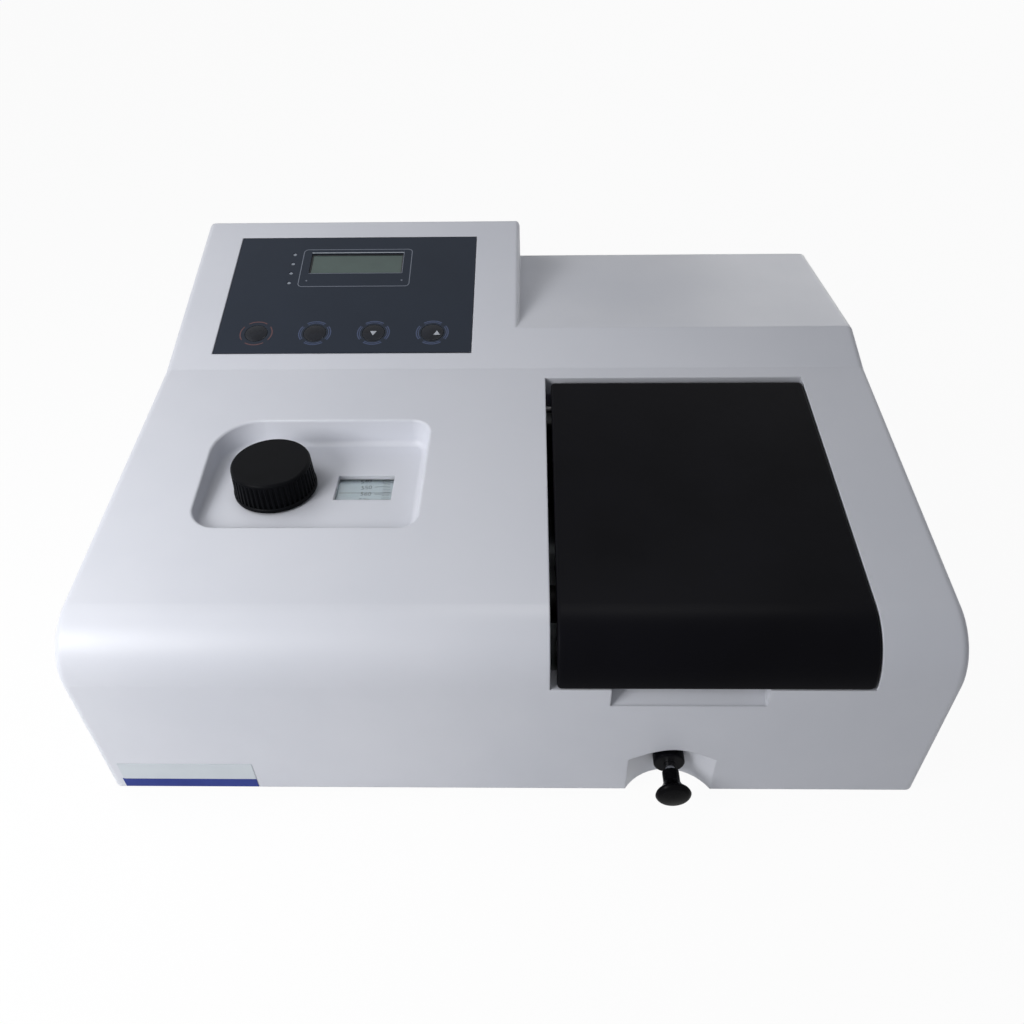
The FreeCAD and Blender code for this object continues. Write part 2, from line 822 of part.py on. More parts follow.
def make_base_plate():
    """The folded steel pan under the cover, notched round the scoop."""
    body = new_body("base_plate")
    edge = "wall + fit_gap"
    pan = new_sketch(body, "pan", "XY_Plane", "plate_recess")
    draw_loop(pan, rectangle(edge, edge, f"casing_width - ({edge})", f"casing_depth - ({edge})"))
    pad(body, pan, "plate_thickness")
    flange = new_sketch(body, "flanges", "XY_Plane", PLATE_TOP)
    inner = f"({edge} + plate_thickness)"
    for left, right in ((edge, inner), (f"casing_width - {inner}", f"casing_width - ({edge})")):
        draw_loop(flange, rectangle(left, "casing_depth * 0.3", right, "casing_depth * 0.7"))
    pad(body, flange, "plate_flange")
    notch = new_sketch(body, "scoop_notch", "XY_Plane", PLATE_TOP)
    draw_circle(notch, "rod_x", "-scoop_axis", "scoop_radius + wall + fit_gap")
    for x, y in BOSS_PLACES:
        draw_circle(notch, x, y, "base_screw_radius + fit_gap / 2")
    for x, y in FOOT_PLACES.values():
        draw_circle(notch, x, y, "base_screw_radius")
    cut(body, notch, "2 * plate_thickness")
    slot = new_sketch(body, "plate_slot", "XY_Plane", PLATE_TOP)
    left = "lamp_house_left + vent_pitch"
    draw_loop(slot, rectangle(left, "lamp_house_front + 14", f"{left} + vent_width",
                              "lamp_house_front + lamp_house_length - 14"))
    repeat(body, cut(body, slot, "2 * plate_thickness"), slot, "H_Axis", "vent_pitch", 11)
    return place(body)


FOOT_PLACES = {
    "front_left_foot": ("foot_inset", "foot_inset"),
    "front_right_foot": ("casing_width - foot_inset", "foot_inset"),
    "rear_left_foot": ("foot_inset", "casing_depth - foot_inset"),
    "rear_right_foot": ("casing_width - foot_inset", "casing_depth - foot_inset"),
}


def make_feet():
    """Four rubber feet, tapered, with a well for the screw head."""
    feet = []
    for label, (x, y) in FOOT_PLACES.items():
        body = new_body(label)
        sketch = new_sketch(body, f"{label}_half", "XZ_Plane")
        top = "foot_height + plate_recess"
        draw_loop(sketch, [
            ("base_screw_radius + fit_gap / 2", "foot_height / 2"),
            ("2 * base_screw_radius + fit_gap", "foot_height / 2"),
            ("2 * base_screw_radius + fit_gap", 0),
            ("foot_radius - 2", 0),
            ("foot_radius - 1", 1),
            ("foot_radius", top),
            ("base_screw_radius + fit_gap / 2", top),
        ])
        turn(body, sketch)
        feet.append(place(body, x, y, "-foot_height"))
    return feet


def screw(name, head_start, shank_length, axis="z", upwards=True):
    """A pan head screw: the head starts at a point, and the shank runs on along the axis."""
    head = "base_screw_radius * 0.9"
    x, y, z = head_start
    shank_start = {
        ("z", True): (x, y, f"{z} + {head}"),
        ("y", False): (x, f"{y} - ({shank_length})", z),
    }[axis, upwards]
    return join(name, [
        rod(f"{name}_head", head_start, "base_screw_radius * 1.9", head, axis),
        rod(f"{name}_shank", shank_start, "base_screw_radius * 0.98", shank_length, axis),
    ])


def make_base_screws():
    """The screws that hold the feet and the cover to the base plate."""
    screws = []
    for index, (x, y) in enumerate(FOOT_PLACES.values()):
        head_z = "-foot_height / 2 - base_screw_radius * 0.9"
        screws.append(screw(f"foot_screw_{index}", (x, y, head_z),
                            f"{PLATE_TOP} + foot_height / 2 + 1"))
    for index, (x, y) in enumerate(BOSS_PLACES):
        head_z = "plate_recess - base_screw_radius * 0.9"
        screws.append(screw(f"cover_screw_{index}", (x, y, head_z), "plate_thickness + 10"))
    return place(group("base_screws", screws))


def make_rear_panel():
    """The aluminium rear panel with its slots, inlet and switch openings."""
    body = new_body("rear_panel")
    face = new_sketch(body, "panel_face", "XZ_Plane", "-casing_depth")
    margin = "rear_panel_margin"
    draw_loop(face, rounded_rectangle(margin, margin, f"casing_width - {margin}",
                                      f"{margin} + rear_panel_height", 3))
    pad(body, face, "rear_panel_thickness")
    openings = new_sketch(body, "panel_openings", "XZ_Plane", "-casing_depth")
    draw_loop(openings, inlet_opening("fit_gap"))
    draw_loop(openings, switch_opening("fit_gap"))
    for x, z in PANEL_SCREWS:
        draw_circle(openings, x, z, "base_screw_radius")
    cut(body, openings, "2 * rear_panel_thickness", middle=True)
    slots = new_sketch(body, "vent_slots", "XZ_Plane", "-casing_depth")
    left = "lamp_house_left - 4 * vent_pitch"
    for low in ("rear_panel_margin + 20", "rear_panel_margin + 26 + vent_height"):
        draw_loop(slots, rectangle(left, low, f"{left} + vent_width", f"{low} + vent_height"))
    slot_cut = cut(body, slots, "2 * rear_panel_thickness", middle=True)
    repeat(body, slot_cut, slots, "H_Axis", "vent_pitch", 20)
    return place(body)


def inlet_opening(gap):
    return rectangle(f"inlet_x - 14 - {gap}", f"inlet_z - 10 - {gap}",
                     f"inlet_x + 14 + {gap}", f"inlet_z + 10 + {gap}")


def switch_opening(gap):
    return rectangle(f"switch_x - 9.5 - {gap}", f"inlet_z - 12 - {gap}",
                     f"switch_x + 9.5 + {gap}", f"inlet_z + 12 + {gap}")


# Lid and sample compartment
def make_sample_lid():
    """The black lid: a shell that follows the deck and front, with a light-tight rib inside."""
    body = new_body("sample_lid")
    outer = new_sketch(body, "lid_side", "YZ_Plane", "lid_left")
    draw_loop(outer, band("-lid_proud", "lid_skirt", LID_BOTTOM, "lid_back"))
    block_pad = pad(body, outer, "lid_right - lid_left")

    def lid_corner(side):
        def chosen(edge):
            box = edge.BoundBox
            on_side = near(box.XMin, side) and near(box.XMax, side)
            at_back = box.YMin > number("lid_back") - 2
            at_front = spans(edge, "y") and near(box.ZMax, LID_BOTTOM, 0.1)
            return on_side and (at_back or at_front) and box.DiagonalLength > 3
        return chosen

    right = soften(body, block_pad, "lid_skin * 1.3", lid_corner("lid_right"))
    left = soften(body, right, "lid_skin", lid_corner("lid_left"))

    def top_edge(edge):
        middle = edge.valueAt((edge.FirstParameter + edge.LastParameter) / 2)
        above = number(deck_height_at(middle.y)) + number("lid_proud") - middle.z
        on_deck = abs(above) < 0.2 and middle.y > 5
        on_front = abs(middle.y + number("lid_proud")) < 0.1
        on_arc = 0 < middle.y < number("front_radius") and above < 14 and above > 0.2
        side = near(middle.x, "lid_left") or near(middle.x, "lid_right")
        return (on_deck or on_front or (on_arc and side)) and not spans(edge, "x")

    soften(body, left, "lid_skin * 0.6", top_edge)
    inside = new_sketch(body, "lid_inside", "YZ_Plane", "lid_left + lid_skin")
    draw_loop(inside, band("lid_skin", "lid_skirt * 2", f"{LID_BOTTOM} - 1",
                           "lid_back - lid_skin"))
    cut(body, inside, "lid_right - lid_left - 2 * lid_skin", reverse=True)
    for name, inset, kind in (("rib_block", 0, "pad"), ("rib_inside", 2, "cut")):
        front, back = f"chamber_front + 1 + {inset}", f"chamber_back - 1 - {inset}"
        low = f"{SEAL_TOP} + fit_gap - {inset}"
        depth = "lid_skin / 2" if kind == "pad" else "lid_skin"
        sketch = new_sketch(body, name, "YZ_Plane", f"chamber_left + 1 + {inset}")
        draw_loop(sketch, [
            (front, low),
            (back, low),
            (back, f"{deck_height_at(back)} - {depth}"),
            (front, f"{deck_height_at(front)} - {depth}"),
        ])
        length = f"chamber_right - chamber_left - 2 - 2 * {inset}"
        if kind == "pad":
            pad(body, sketch, length)
        else:
            cut(body, sketch, length, reverse=True)
    for side, start in (("left", "lid_left"), ("right", "lid_right - lid_skin - 3")):
        lug = new_sketch(body, f"{side}_lug", "YZ_Plane", start)
        radius = "2.6 * hinge_pin_radius"
        draw_circle(lug, "hinge_y", HINGE_Z, radius)
        pad(body, lug, "lid_skin + 3")
    bore = new_sketch(body, "hinge_bore", "YZ_Plane", "lid_left - 1")
    draw_circle(bore, "hinge_y", HINGE_Z, "hinge_pin_radius + hinge_gap")
    cut(body, bore, "lid_right - lid_left + 2", reverse=True)
    return place(body)


def make_hinge_pins():
    """Two short steel pins that carry the lid in the walls of its opening."""
    length = "wall + lid_channel + lid_skin + 3"
    left = rod("left_pin", (f"{OPENING_LEFT} - wall", "hinge_y", HINGE_Z), "hinge_pin_radius",
               length, "x")
    right_length = "wall + lid_side_gap + lid_skin + 3"
    right = rod("right_pin", ("lid_right - lid_skin - 3", "hinge_y", HINGE_Z),
                "hinge_pin_radius", right_length, "x")
    return place(group("lid_hinge_pins", [left, right]))


def make_sample_chamber():
    """The black tub under the lid, with a flanged rim and the beam's two ports."""
    body = new_body("sample_chamber")
    left, right = "chamber_left", "chamber_right"
    front, back = "chamber_front", "chamber_back"
    tub = new_sketch(body, "tub", "XY_Plane", PLATE_TOP)
    draw_loop(tub, rectangle(left, front, right, back))
    pad(body, tub, f"{CHAMBER_RIM} - {PLATE_TOP}")
    rim = new_sketch(body, "rim", "XY_Plane", "chamber_top")
    flange = "(chamber_flange - wall)"
    draw_loop(rim, rectangle(f"{left} - {flange}", f"{front} - {flange}",
                             f"{right} + {flange}", f"{back} + {flange}"))
    pad(body, rim, "chamber_wall")
    hollow = new_sketch(body, "hollow", "XY_Plane", f"{PLATE_TOP} + chamber_wall")
    draw_loop(hollow, rounded_rectangle(f"{left} + chamber_wall", f"{front} + chamber_wall",
                                        f"{right} - chamber_wall", f"{back} - chamber_wall", 4))
    cut(body, hollow, "chamber_top + chamber_wall", reverse=True)
    ports = new_sketch(body, "beam_ports", "YZ_Plane", "chamber_left - 1")
    draw_circle(ports, "beam_y", "beam_z", 7)
    cut(body, ports, f"{right} - {left} + 2", reverse=True)
    holes = new_sketch(body, "rod_hole", "XZ_Plane", "-chamber_front + 1")
    draw_circle(holes, "rod_x", "rod_z", "rod_radius + 0.6")
    cut(body, holes, "chamber_wall + 2")
    return place(body)


def ring(name, left, front, right, back, width, low, height):
    """A rectangular frame of the given width, laid on a level."""
    outer = block(f"{name}_outer", (left, front, low),
                  (f"{right} - ({left})", f"{back} - ({front})", height))
    inner = block(f"{name}_inner",
                  (f"{left} + {width}", f"{front} + {width}", f"{low} - 1"),
                  (f"{right} - ({left}) - 2 * {width}", f"{back} - ({front}) - 2 * {width}",
                   f"{height} + 2"))
    return remove(name, outer, [inner])


def make_lid_seal():
    """The foam gasket on the chamber's rim, which the lid's rib closes on."""
    reach = "(chamber_flange - wall - 0.5)"
    return place(ring("lid_seal", f"(chamber_left - {reach})", f"(chamber_front - {reach})",
                      f"(chamber_right + {reach})", f"(chamber_back + {reach})",
                      "chamber_flange - 1", CHAMBER_RIM, "seal_height"))


def make_guide_rods():
    """Two steel rods across the chamber that the cell carriage slides on."""
    start = "chamber_front + chamber_wall"
    length = "chamber_back - chamber_front - 2 * chamber_wall"
    rods = [
        rod(f"guide_rod_{side}", (f"rod_x + {sign} * rail_spacing / 2", start, "rail_z"),
            "rail_radius", length, "y")
        for side, sign in (("left", -1), ("right", 1))
    ]
    return place(group("guide_rods", rods))


def make_cell_carriage():
    """The sliding carriage with four square wells and a beam port through each."""
    front, length = "carriage_front", "carriage_length"
    slide = block("carriage_slide", ("rod_x - carriage_slide_width / 2", front, "rail_z - 5.5"),
                  ("carriage_slide_width", length, 13))
    tower = block("carriage_tower", ("rod_x - carriage_width / 2", front, "rail_z - 5.5"),
                  ("carriage_width", length, "carriage_top - rail_z + 5.5"))
    tools = []
    for index in range(4):
        middle = f"beam_y + {index} * cell_pitch"
        tools.append(block(f"well_{index}",
                           ("rod_x - cell_side / 2", f"{middle} - cell_side / 2", "cell_floor"),
                           ("cell_side", "cell_side", "carriage_top")))
        tools.append(rod(f"port_{index}", ("rod_x - carriage_width", middle, "beam_z"), 4,
                         "2 * carriage_width", "x"))
    for side, sign in (("left", -1), ("right", 1)):
        tools.append(rod(f"slide_bore_{side}",
                         (f"rod_x + {sign} * rail_spacing / 2", f"{front} - 1", "rail_z"),
                         "rail_radius + slide_gap", f"{length} + 2", "y"))
    tools.append(rod("rod_socket", ("rod_x", f"{front} - 1", "rod_z"), "rod_radius", 9, "y"))
    whole = join("carriage_block", [slide, tower])
    return place(remove("cell_carriage", whole, tools))


def make_pull_rod():
    """The plated rod from carriage to pull knob, with a detent groove for each cell."""
    body = new_body("pull_rod")
    half = new_sketch(body, "rod_half", "XZ_Plane")
    groove, depth = 1, "rod_radius - 0.8"
    length = "carriage_front + 8 - pull_knob_front - pull_knob_length + 9"
    corners = [(0, 0), ("rod_radius", 0)]
    for index in range(4):
        middle = f"({length}) - 62 + {index} * cell_pitch"
        corners += [
            ("rod_radius", f"{middle} - {groove}"),
            (depth, middle),
            ("rod_radius", f"{middle} + {groove}"),
        ]
    corners += [("rod_radius", length), (0, length)]
    draw_loop(half, corners)
    turn(body, half)
    return place(body, "rod_x", "pull_knob_front + pull_knob_length - 9", "rod_z",
                 Rotation(Vector(1, 0, 0), -90))


def make_pull_knob():
    """The black spool-shaped pull knob: a domed disc on a waisted neck."""
    body = new_body("pull_knob")
    half = new_sketch(body, "knob_half", "XZ_Plane")
    draw_loop(half, [
        (0, 0),
        ("tip_flat", 0),
        ("pull_knob_radius * 0.78", 0.9, "pull_knob_radius * 4"),
        ("pull_knob_radius", 3, "pull_knob_radius * 0.32"),
        ("pull_knob_radius * 0.86", 5.2, "pull_knob_radius * 0.4"),
        ("pull_knob_neck", "pull_knob_length * 0.62", "-(pull_knob_radius * 1.1)"),
        ("pull_knob_neck", "pull_knob_length"),
        ("rod_radius", "pull_knob_length"),
        ("rod_radius", "pull_knob_length - 9"),
        (0, "pull_knob_length - 9"),
    ])
    turn(body, half)
    return place(body, "rod_x", "pull_knob_front", "rod_z", Rotation(Vector(1, 0, 0), -90))


def make_rod_bush():
    """The flanged plastic bush that guides the rod through the scoop's wall."""
    body = new_body("rod_bush")
    half = new_sketch(body, "bush_half", "XZ_Plane")
    wall_face = "scoop_radius - scoop_axis"
    inner = "rod_radius + slide_gap"
    draw_loop(half, [
        (inner, -7.8),
        ("bush_radius - 1", -7.8),
        ("bush_radius", -6.8, 1),
        ("bush_radius", -1.6),
        ("bush_radius - 3.3", -1.6),
        ("bush_radius - 3.3", "wall + 3"),
        (inner, "wall + 3"),
    ])
    turn(body, half)
    return place(body, "rod_x", wall_face, "rod_z", Rotation(Vector(1, 0, 0), -90))


def make_windows():
    """The two silica windows in the chamber's beam ports."""
    discs = [
        rod(name, (x, "beam_y", "beam_z"), 7, 2, "x")
        for name, x in (("entry_disc", "chamber_left + 0.5"), ("exit_disc", "chamber_right - 2.5"))
    ]
    return place(group("chamber_windows", discs))


def make_beam_tube():
    """The light-tight tube from the monochromator's exit slit to the chamber."""
    start = ("case_right", "beam_y", "beam_z")
    length = "chamber_left - case_right"
    outer = rod("tube_outer", start, 12, length, "x")
    inner = rod("tube_inner", start, 9, length, "x")
    return place(remove("beam_tube", outer, [inner]))


def make_detector():
    """The detector housing on the chamber's right wall, with its photodiode inside."""
    depth = 34
    corner = ("chamber_right", "beam_y - 20", "beam_z - 20")
    shell = block("housing_block", corner, (depth, 40, 40))
    hollow = block("housing_hollow", ("chamber_right + 4", "beam_y - 17", "beam_z - 17"),
                   (depth - 7, 34, 34))
    port = rod("housing_port", ("chamber_right - 1", "beam_y", "beam_z"), 7, 7, "x")
    foot = block("housing_foot", ("chamber_right", "beam_y - 14", PLATE_TOP),
                 (depth, 28, f"beam_z - 20 - {PLATE_TOP}"))
    housing = remove("detector_housing", join("housing_body", [shell, foot]), [hollow, port])
    base = rod("diode_base", ("chamber_right + 22", "beam_y", "beam_z"), 7, 1.5, "x")
    can = rod("diode_can", ("chamber_right + 16", "beam_y", "beam_z"), 6, 6, "x")
    board = block("diode_board", ("chamber_right + 23.5", "beam_y - 15", "beam_z - 15"),
                  (1.6, 30, 30))
    amplifier = block("diode_amplifier", ("chamber_right + 25.1", "beam_y - 4", "beam_z + 2"),
                      (2, 8, 6))
    stud = block("board_foot", ("chamber_right + 23.5", "beam_y - 15", "beam_z - 17"),
                 (1.6, 30, 2))
    board_group = join("preamp_board", [board, amplifier, stud])
    return [place(housing), place(join("photodiode", [base, can])), place(board_group)]


# Monochromator
def make_monochromator():
    """The cast case, its lid, and the two slits."""
    body = new_body("monochromator_case")
    outline = new_sketch(body, "case_outline", "XY_Plane", PLATE_TOP)
    draw_loop(outline, rounded_rectangle("case_left", "case_front", "case_right", "case_back", 4))
    pad(body, outline, f"case_top - {PLATE_TOP}")
    inside = new_sketch(body, "case_inside", "XY_Plane", f"{PLATE_TOP} + case_wall")
    draw_loop(inside, rectangle("case_left + case_wall", "case_front + case_wall",
                                "case_right - case_wall", "case_back - case_wall"))
    cut(body, inside, "case_top", reverse=True)
    bearing = new_sketch(body, "spindle_bearing", "XY_Plane", f"{PLATE_TOP} + case_wall")
    draw_circle(bearing, "grating_x", "grating_y", "2 * spindle_radius")
    draw_circle(bearing, "grating_x", "grating_y", "spindle_radius + slide_gap")
    pad(body, bearing, 6)
    exit_port = new_sketch(body, "exit_port", "YZ_Plane", "case_right - 2 * case_wall")
    draw_circle(exit_port, "beam_y", "beam_z", 9)
    cut(body, exit_port, "3 * case_wall", reverse=True)
    entry_port = new_sketch(body, "entry_port", "XZ_Plane", "-case_back - 1")
    draw_circle(entry_port, "light_x", "beam_z", 9)
    cut(body, entry_port, "2 * case_wall", reverse=True)
    place(body)

    lid = block("case_lid_plate", ("case_left", "case_front", "case_top"),
                ("case_right - case_left", "case_back - case_front", "case_lid"))
    lid_holes = [
        rod("shaft_hole", ("knob_x", "knob_y", "case_top - 1"), "shaft_radius + 3",
            "case_lid + 2"),
        rod("spindle_hole", ("grating_x", "grating_y", "case_top - 1"),
            "spindle_radius + slide_gap", "case_lid + 2"),
    ]
    lid_item = place(remove("monochromator_lid", lid, lid_holes))

    slits = []
    for label, corner, sides, slot, slot_sides in (
        ("exit_slit", ("case_right - case_wall - 1", "beam_y - 12", "beam_z - 12"), (1, 24, 24),
         ("case_right - case_wall - 2", "beam_y - 0.5", "beam_z - 5"), (3, 1, 10)),
        ("entrance_slit", ("light_x - 12", "case_back - case_wall - 1", "beam_z - 12"),
         (24, 1, 24), ("light_x - 0.5", "case_back - case_wall - 2", "beam_z - 5"), (1, 3, 10)),
    ):
        plate = block(f"{label}_plate", corner, sides)
        opening = block(f"{label}_slot", slot, slot_sides)
        slits.append(place(remove(label, plate, [opening])))
    return [body, lid_item, *slits]


MIRRORS = {
    "collimating_mirror": ("light_x", "case_front + case_wall + 12", 110),
    "focusing_mirror": ("case_left + case_wall + 12", "beam_y", 12),
}


def make_mirrors():
    """Two round mirrors, each cemented to an upright post on the case's floor."""
    mirrors = []
    for label, (x, y, angle) in MIRRORS.items():
        glass = rod(f"{label}_glass", (0, 0, 0), "mirror_radius", "mirror_depth", "x")
        back = block(f"{label}_back", (-4, -10, f"{PLATE_TOP} + case_wall - beam_z"),
                     (4, 20, f"beam_z - {PLATE_TOP} - case_wall + 16"))
        post = block(f"{label}_foot", (-4, -14, f"{PLATE_TOP} + case_wall - beam_z"), (18, 28, 3))
        item = join(label, [glass, back, post])
        mirrors.append(place(item, x, y, "beam_z", Rotation(Vector(0, 0, 1), angle)))
    return mirrors


def make_grating():
    """The turning table with its spindle, and the ruled grating clamped to it."""
    floor = CASE_FLOOR
    spindle = rod("spindle", (0, 0, 0.3), "spindle_radius",
                  f"cam_level + cam_thickness - {floor} - 1.3")
    table = rod("table_disc", (0, 0, f"beam_z - grating_side / 2 - 4 - {floor}"), 20, 4)
    collar = rod("table_collar", (0, 0, 6.3), "1.8 * spindle_radius",
                 f"beam_z - grating_side / 2 - {floor} - 6.3")
    low = f"beam_z - grating_side / 2 - {floor}"
    back = block("grating_back", (-5, "-grating_side / 2", low), (4, "grating_side", "grating_side"))
    slot = block("grating_seat", (-1, "-grating_side / 2 - 1", low),
                 ("grating_depth + 10", "grating_side + 2", "grating_side + 0.3"))
    whole = join("table_whole", [spindle, table, collar, back])
    table_item = remove("grating_table", whole, [slot])
    blank = block("grating_blank", (-1, "-grating_side / 2", low),
                  ("grating_depth", "grating_side", "grating_side"))
    grating_item = group("grating", [blank])
    turned = Rotation(Vector(0, 0, 1), -100)
    return [
        place(table_item, "grating_x", "grating_y", floor, turned),
        place(grating_item, "grating_x", "grating_y", floor, turned),
    ]


def axes_angle():
    """Direction from the grating's spindle to the knob's shaft, in degrees."""
    return math.degrees(math.atan2(number("knob_y - grating_y"), number("knob_x - grating_x")))


def roller_place(knob_turn):
    """Centre of the follower's roller when the knob has turned by an angle in degrees."""
    lean = number("follower_rest_angle") + number("follower_ratio") * knob_turn
    angle = math.radians(axes_angle() + lean)
    spindle = Vector(number("grating_x"), number("grating_y"), 0)
    return spindle + Vector(math.cos(angle), math.sin(angle), 0) * number("follower_length")


def make_follower():
    """The lever clamped on the grating's spindle, and the roller at its end."""
    length = "follower_length"
    arm = block("arm_bar", (0, -4, 0), (length, 8, "cam_thickness - 2"))
    eye = rod("arm_eye", (0, 0, 0), "2 * spindle_radius", "cam_thickness - 2")
    tip = rod("arm_tip", (length, 0, 0), "roller_radius - 0.5", "cam_thickness - 2")
    pin_item = rod("arm_pin", (length, 0, "cam_thickness - 2"), 1.5, "cam_thickness + 4")
    bore = rod("arm_bore", (0, 0, -1), "spindle_radius", "2 * cam_thickness")
    arm_item = remove("follower_arm", join("arm_whole", [arm, eye, tip, pin_item]), [bore])
    wheel = rod("roller_wheel", (length, 0, "cam_thickness - 1.5"), "roller_radius",
                "cam_thickness + 2")
    hole = rod("roller_hole", (length, 0, "cam_thickness - 2"), "1.5 + slide_gap",
               "cam_thickness + 4")
    roller_item = remove("follower_roller", wheel, [hole])
    turned = Rotation(Vector(0, 0, 1), axes_angle() + number("follower_rest_angle"))
    level = "cam_level - cam_thickness"
    return [
        place(arm_item, "grating_x", "grating_y", level, turned),
        place(roller_item, "grating_x", "grating_y", level, turned),
    ]


def make_cam():
    """The wavelength cam: the curve that swings the follower evenly as the knob turns."""
    knob = Vector(number("knob_x"), number("knob_y"), 0)
    low, high = number("wavelength_low") - 1.5, number("wavelength_high") + 1.5
    point_count = 48
    reach = number("roller_radius") + number("roller_gap")

    def roller_seen(knob_turn):
        turned = Rotation(Vector(0, 0, 1), -knob_turn)
        return turned.multVec(roller_place(knob_turn) - knob)

    points = []
    for index in range(point_count + 1):
        knob_turn = low + (high - low) * index / point_count
        centre = roller_seen(knob_turn)
        along = roller_seen(knob_turn + 0.5) - roller_seen(knob_turn - 0.5)
        inward = Vector(-along.y, along.x, 0).normalize()
        if inward.dot(centre) > 0:
            inward = inward * -1
        points.append(centre + inward * reach)
    curve = Part.BSplineCurve()
    curve.interpolate(points)
    # The step back down: a wall, and a hollow that the roller fits at the low end.
    stop = roller_seen(low)
    back = (stop - roller_seen(low + 0.5)).normalize()
    inward = (points[0] - stop).normalize()
    hollow = Part.Arc(stop + back * reach, stop + (inward + back).normalize() * reach, points[0])
    wall = Part.LineSegment(points[-1], stop + back * reach)
    edges = [curve.toShape(), wall.toShape(), hollow.toShape()]
    face = Part.Face(Part.Wire(edges))
    cam = face.extrude(Vector(0, 0, number("cam_thickness")))
    hub = Part.makeCylinder(number("2.2 * shaft_radius"), number("cam_thickness") + 3)
    bore = Part.makeCylinder(number("shaft_radius"), number("cam_thickness") + 4)
    item = doc.addObject("Part::Feature", "wavelength_cam")
    item.Shape = cam.fuse(hub).cut(bore)
    return place(item, "knob_x", "knob_y", "cam_level")


def make_dial():
    """The graduated dial with its hub."""
    body = new_body("dial_disc")
    half = new_sketch(body, "dial_half", "XZ_Plane")
    hub, low = "3 * shaft_radius", f"cam_level + cam_thickness + 3.3 - {DIAL_TOP}"
    draw_loop(half, [
        ("shaft_radius", low),
        (hub, low),
        (hub, "-dial_thickness"),
        ("dial_radius", "-dial_thickness"),
        ("dial_radius", 0),
        ("shaft_radius", 0),
    ])
    turn(body, half)
    return place(body, "knob_x", "knob_y", DIAL_TOP)


def make_knob_shaft():
    """The steel shaft from the knob down through the dial and cam to its bush."""
    length = "pocket_floor + knob_gap + knob_height * 0.7 - case_top"
    return place(group("knob_shaft", [rod("shaft_bar", (0, 0, 0), "shaft_radius", length)]),
                 "knob_x", "knob_y", "case_top")


def make_shaft_bush():
    """The bronze bush in the monochromator's lid."""
    body = new_body("shaft_bush")
    half = new_sketch(body, "shaft_bush_half", "XZ_Plane")
    inner = "shaft_radius + slide_gap"
    draw_loop(half, [
        (inner, 0),
        ("shaft_radius + 3", 0),
        ("shaft_radius + 3", "case_lid"),
        ("shaft_radius + 6", "case_lid"),
        ("shaft_radius + 6", "case_lid + 2"),
        (inner, "case_lid + 2"),
    ])
    turn(body, half)
    return place(body, "knob_x", "knob_y", "case_top")


def make_wavelength_knob():
    """The black fluted knob: a shallow domed cap over a skirt, with flutes all round."""
    body = new_body("wavelength_knob")
    half = new_sketch(body, "knob_section", "XZ_Plane")
    top, skirt, high = "knob_top_radius", "knob_skirt_radius", "knob_height"
    draw_loop(half, [
        ("shaft_radius", 0),
        (f"{skirt} - 1.5", 0),
        (skirt, 0.8),
        (skirt, 2.6),
        (f"{skirt} - 0.5", 3.2),
        (f"{top} + 0.1", f"{high} - 1.6"),
        (f"{top} - 1.2", high, 2),
        (0, high),
        (0, f"{high} * 0.7"),
        ("shaft_radius", f"{high} * 0.7"),
    ])
    turn(body, half)
    flute = new_sketch(body, "flute", "XY_Plane", 3.2)
    draw_circle(flute, f"{skirt} - 0.6", 0, "flute_radius")
    groove = cut(body, flute, f"{high} - 5.4", reverse=True)
    pattern = body.newObject("PartDesign::PolarPattern", "flute_ring")
    pattern.Originals = [groove]
    pattern.Axis = (flute, ["N_Axis"])
    pattern.Angle = 360
    pattern.setExpression("Occurrences", bind("knob_flutes"))
    body.Tip = pattern
    return place(body, "knob_x", "knob_y", "pocket_floor + knob_gap")


def make_dial_window():
    """The clear plate under the pocket's floor, over the dial, with its hair line."""
    margin = 3
    plate = block("window_plate",
                  (f"window_left - {margin}", f"window_front - {margin}",
                   f"{SHELL_FLOOR} - window_glass"),
                  (f"window_width + {2 * margin}", f"window_length + {2 * margin}",
                   "window_glass"))
    return place(group("dial_window", [plate]))


def make_return_spring():
    """The flat spiral spring that holds the roller against the cam."""
    coil_count, points_per_coil = 3, 12
    inner, pitch = number("spindle_radius + 0.3"), number("spring_pitch")
    points = []
    for index in range(points_per_coil * coil_count + 1):
        angle = 2 * math.pi * index / points_per_coil
        radius = inner + pitch * index / points_per_coil
        points.append(Vector(radius * math.cos(angle), radius * math.sin(angle), 0))
    strip_thickness = number("spring_thickness")
    outside = [p + Vector(p.x, p.y, 0).normalize() * strip_thickness for p in reversed(points)]
    inward, outward = Part.BSplineCurve(), Part.BSplineCurve()
    inward.interpolate(points)
    outward.interpolate(outside)
    edges = [
        inward.toShape(),
        Part.LineSegment(points[-1], outside[0]).toShape(),
        outward.toShape(),
        Part.LineSegment(outside[-1], points[0]).toShape(),
    ]
    item = doc.addObject("Part::Feature", "return_spring")
    strip = Part.Face(Part.Wire(edges)).extrude(Vector(0, 0, 2))
    level = "(cam_level - cam_thickness - 2.6)"
    rise = number(f"{level} - {CASE_LID_TOP}")
    post = Part.makeCylinder(1.2, rise + 2)
    post.translate(Vector(points[-1].x + 0.25, points[-1].y, -rise))
    item.Shape = strip.fuse(post)
    return place(item, "grating_x", "grating_y", level)


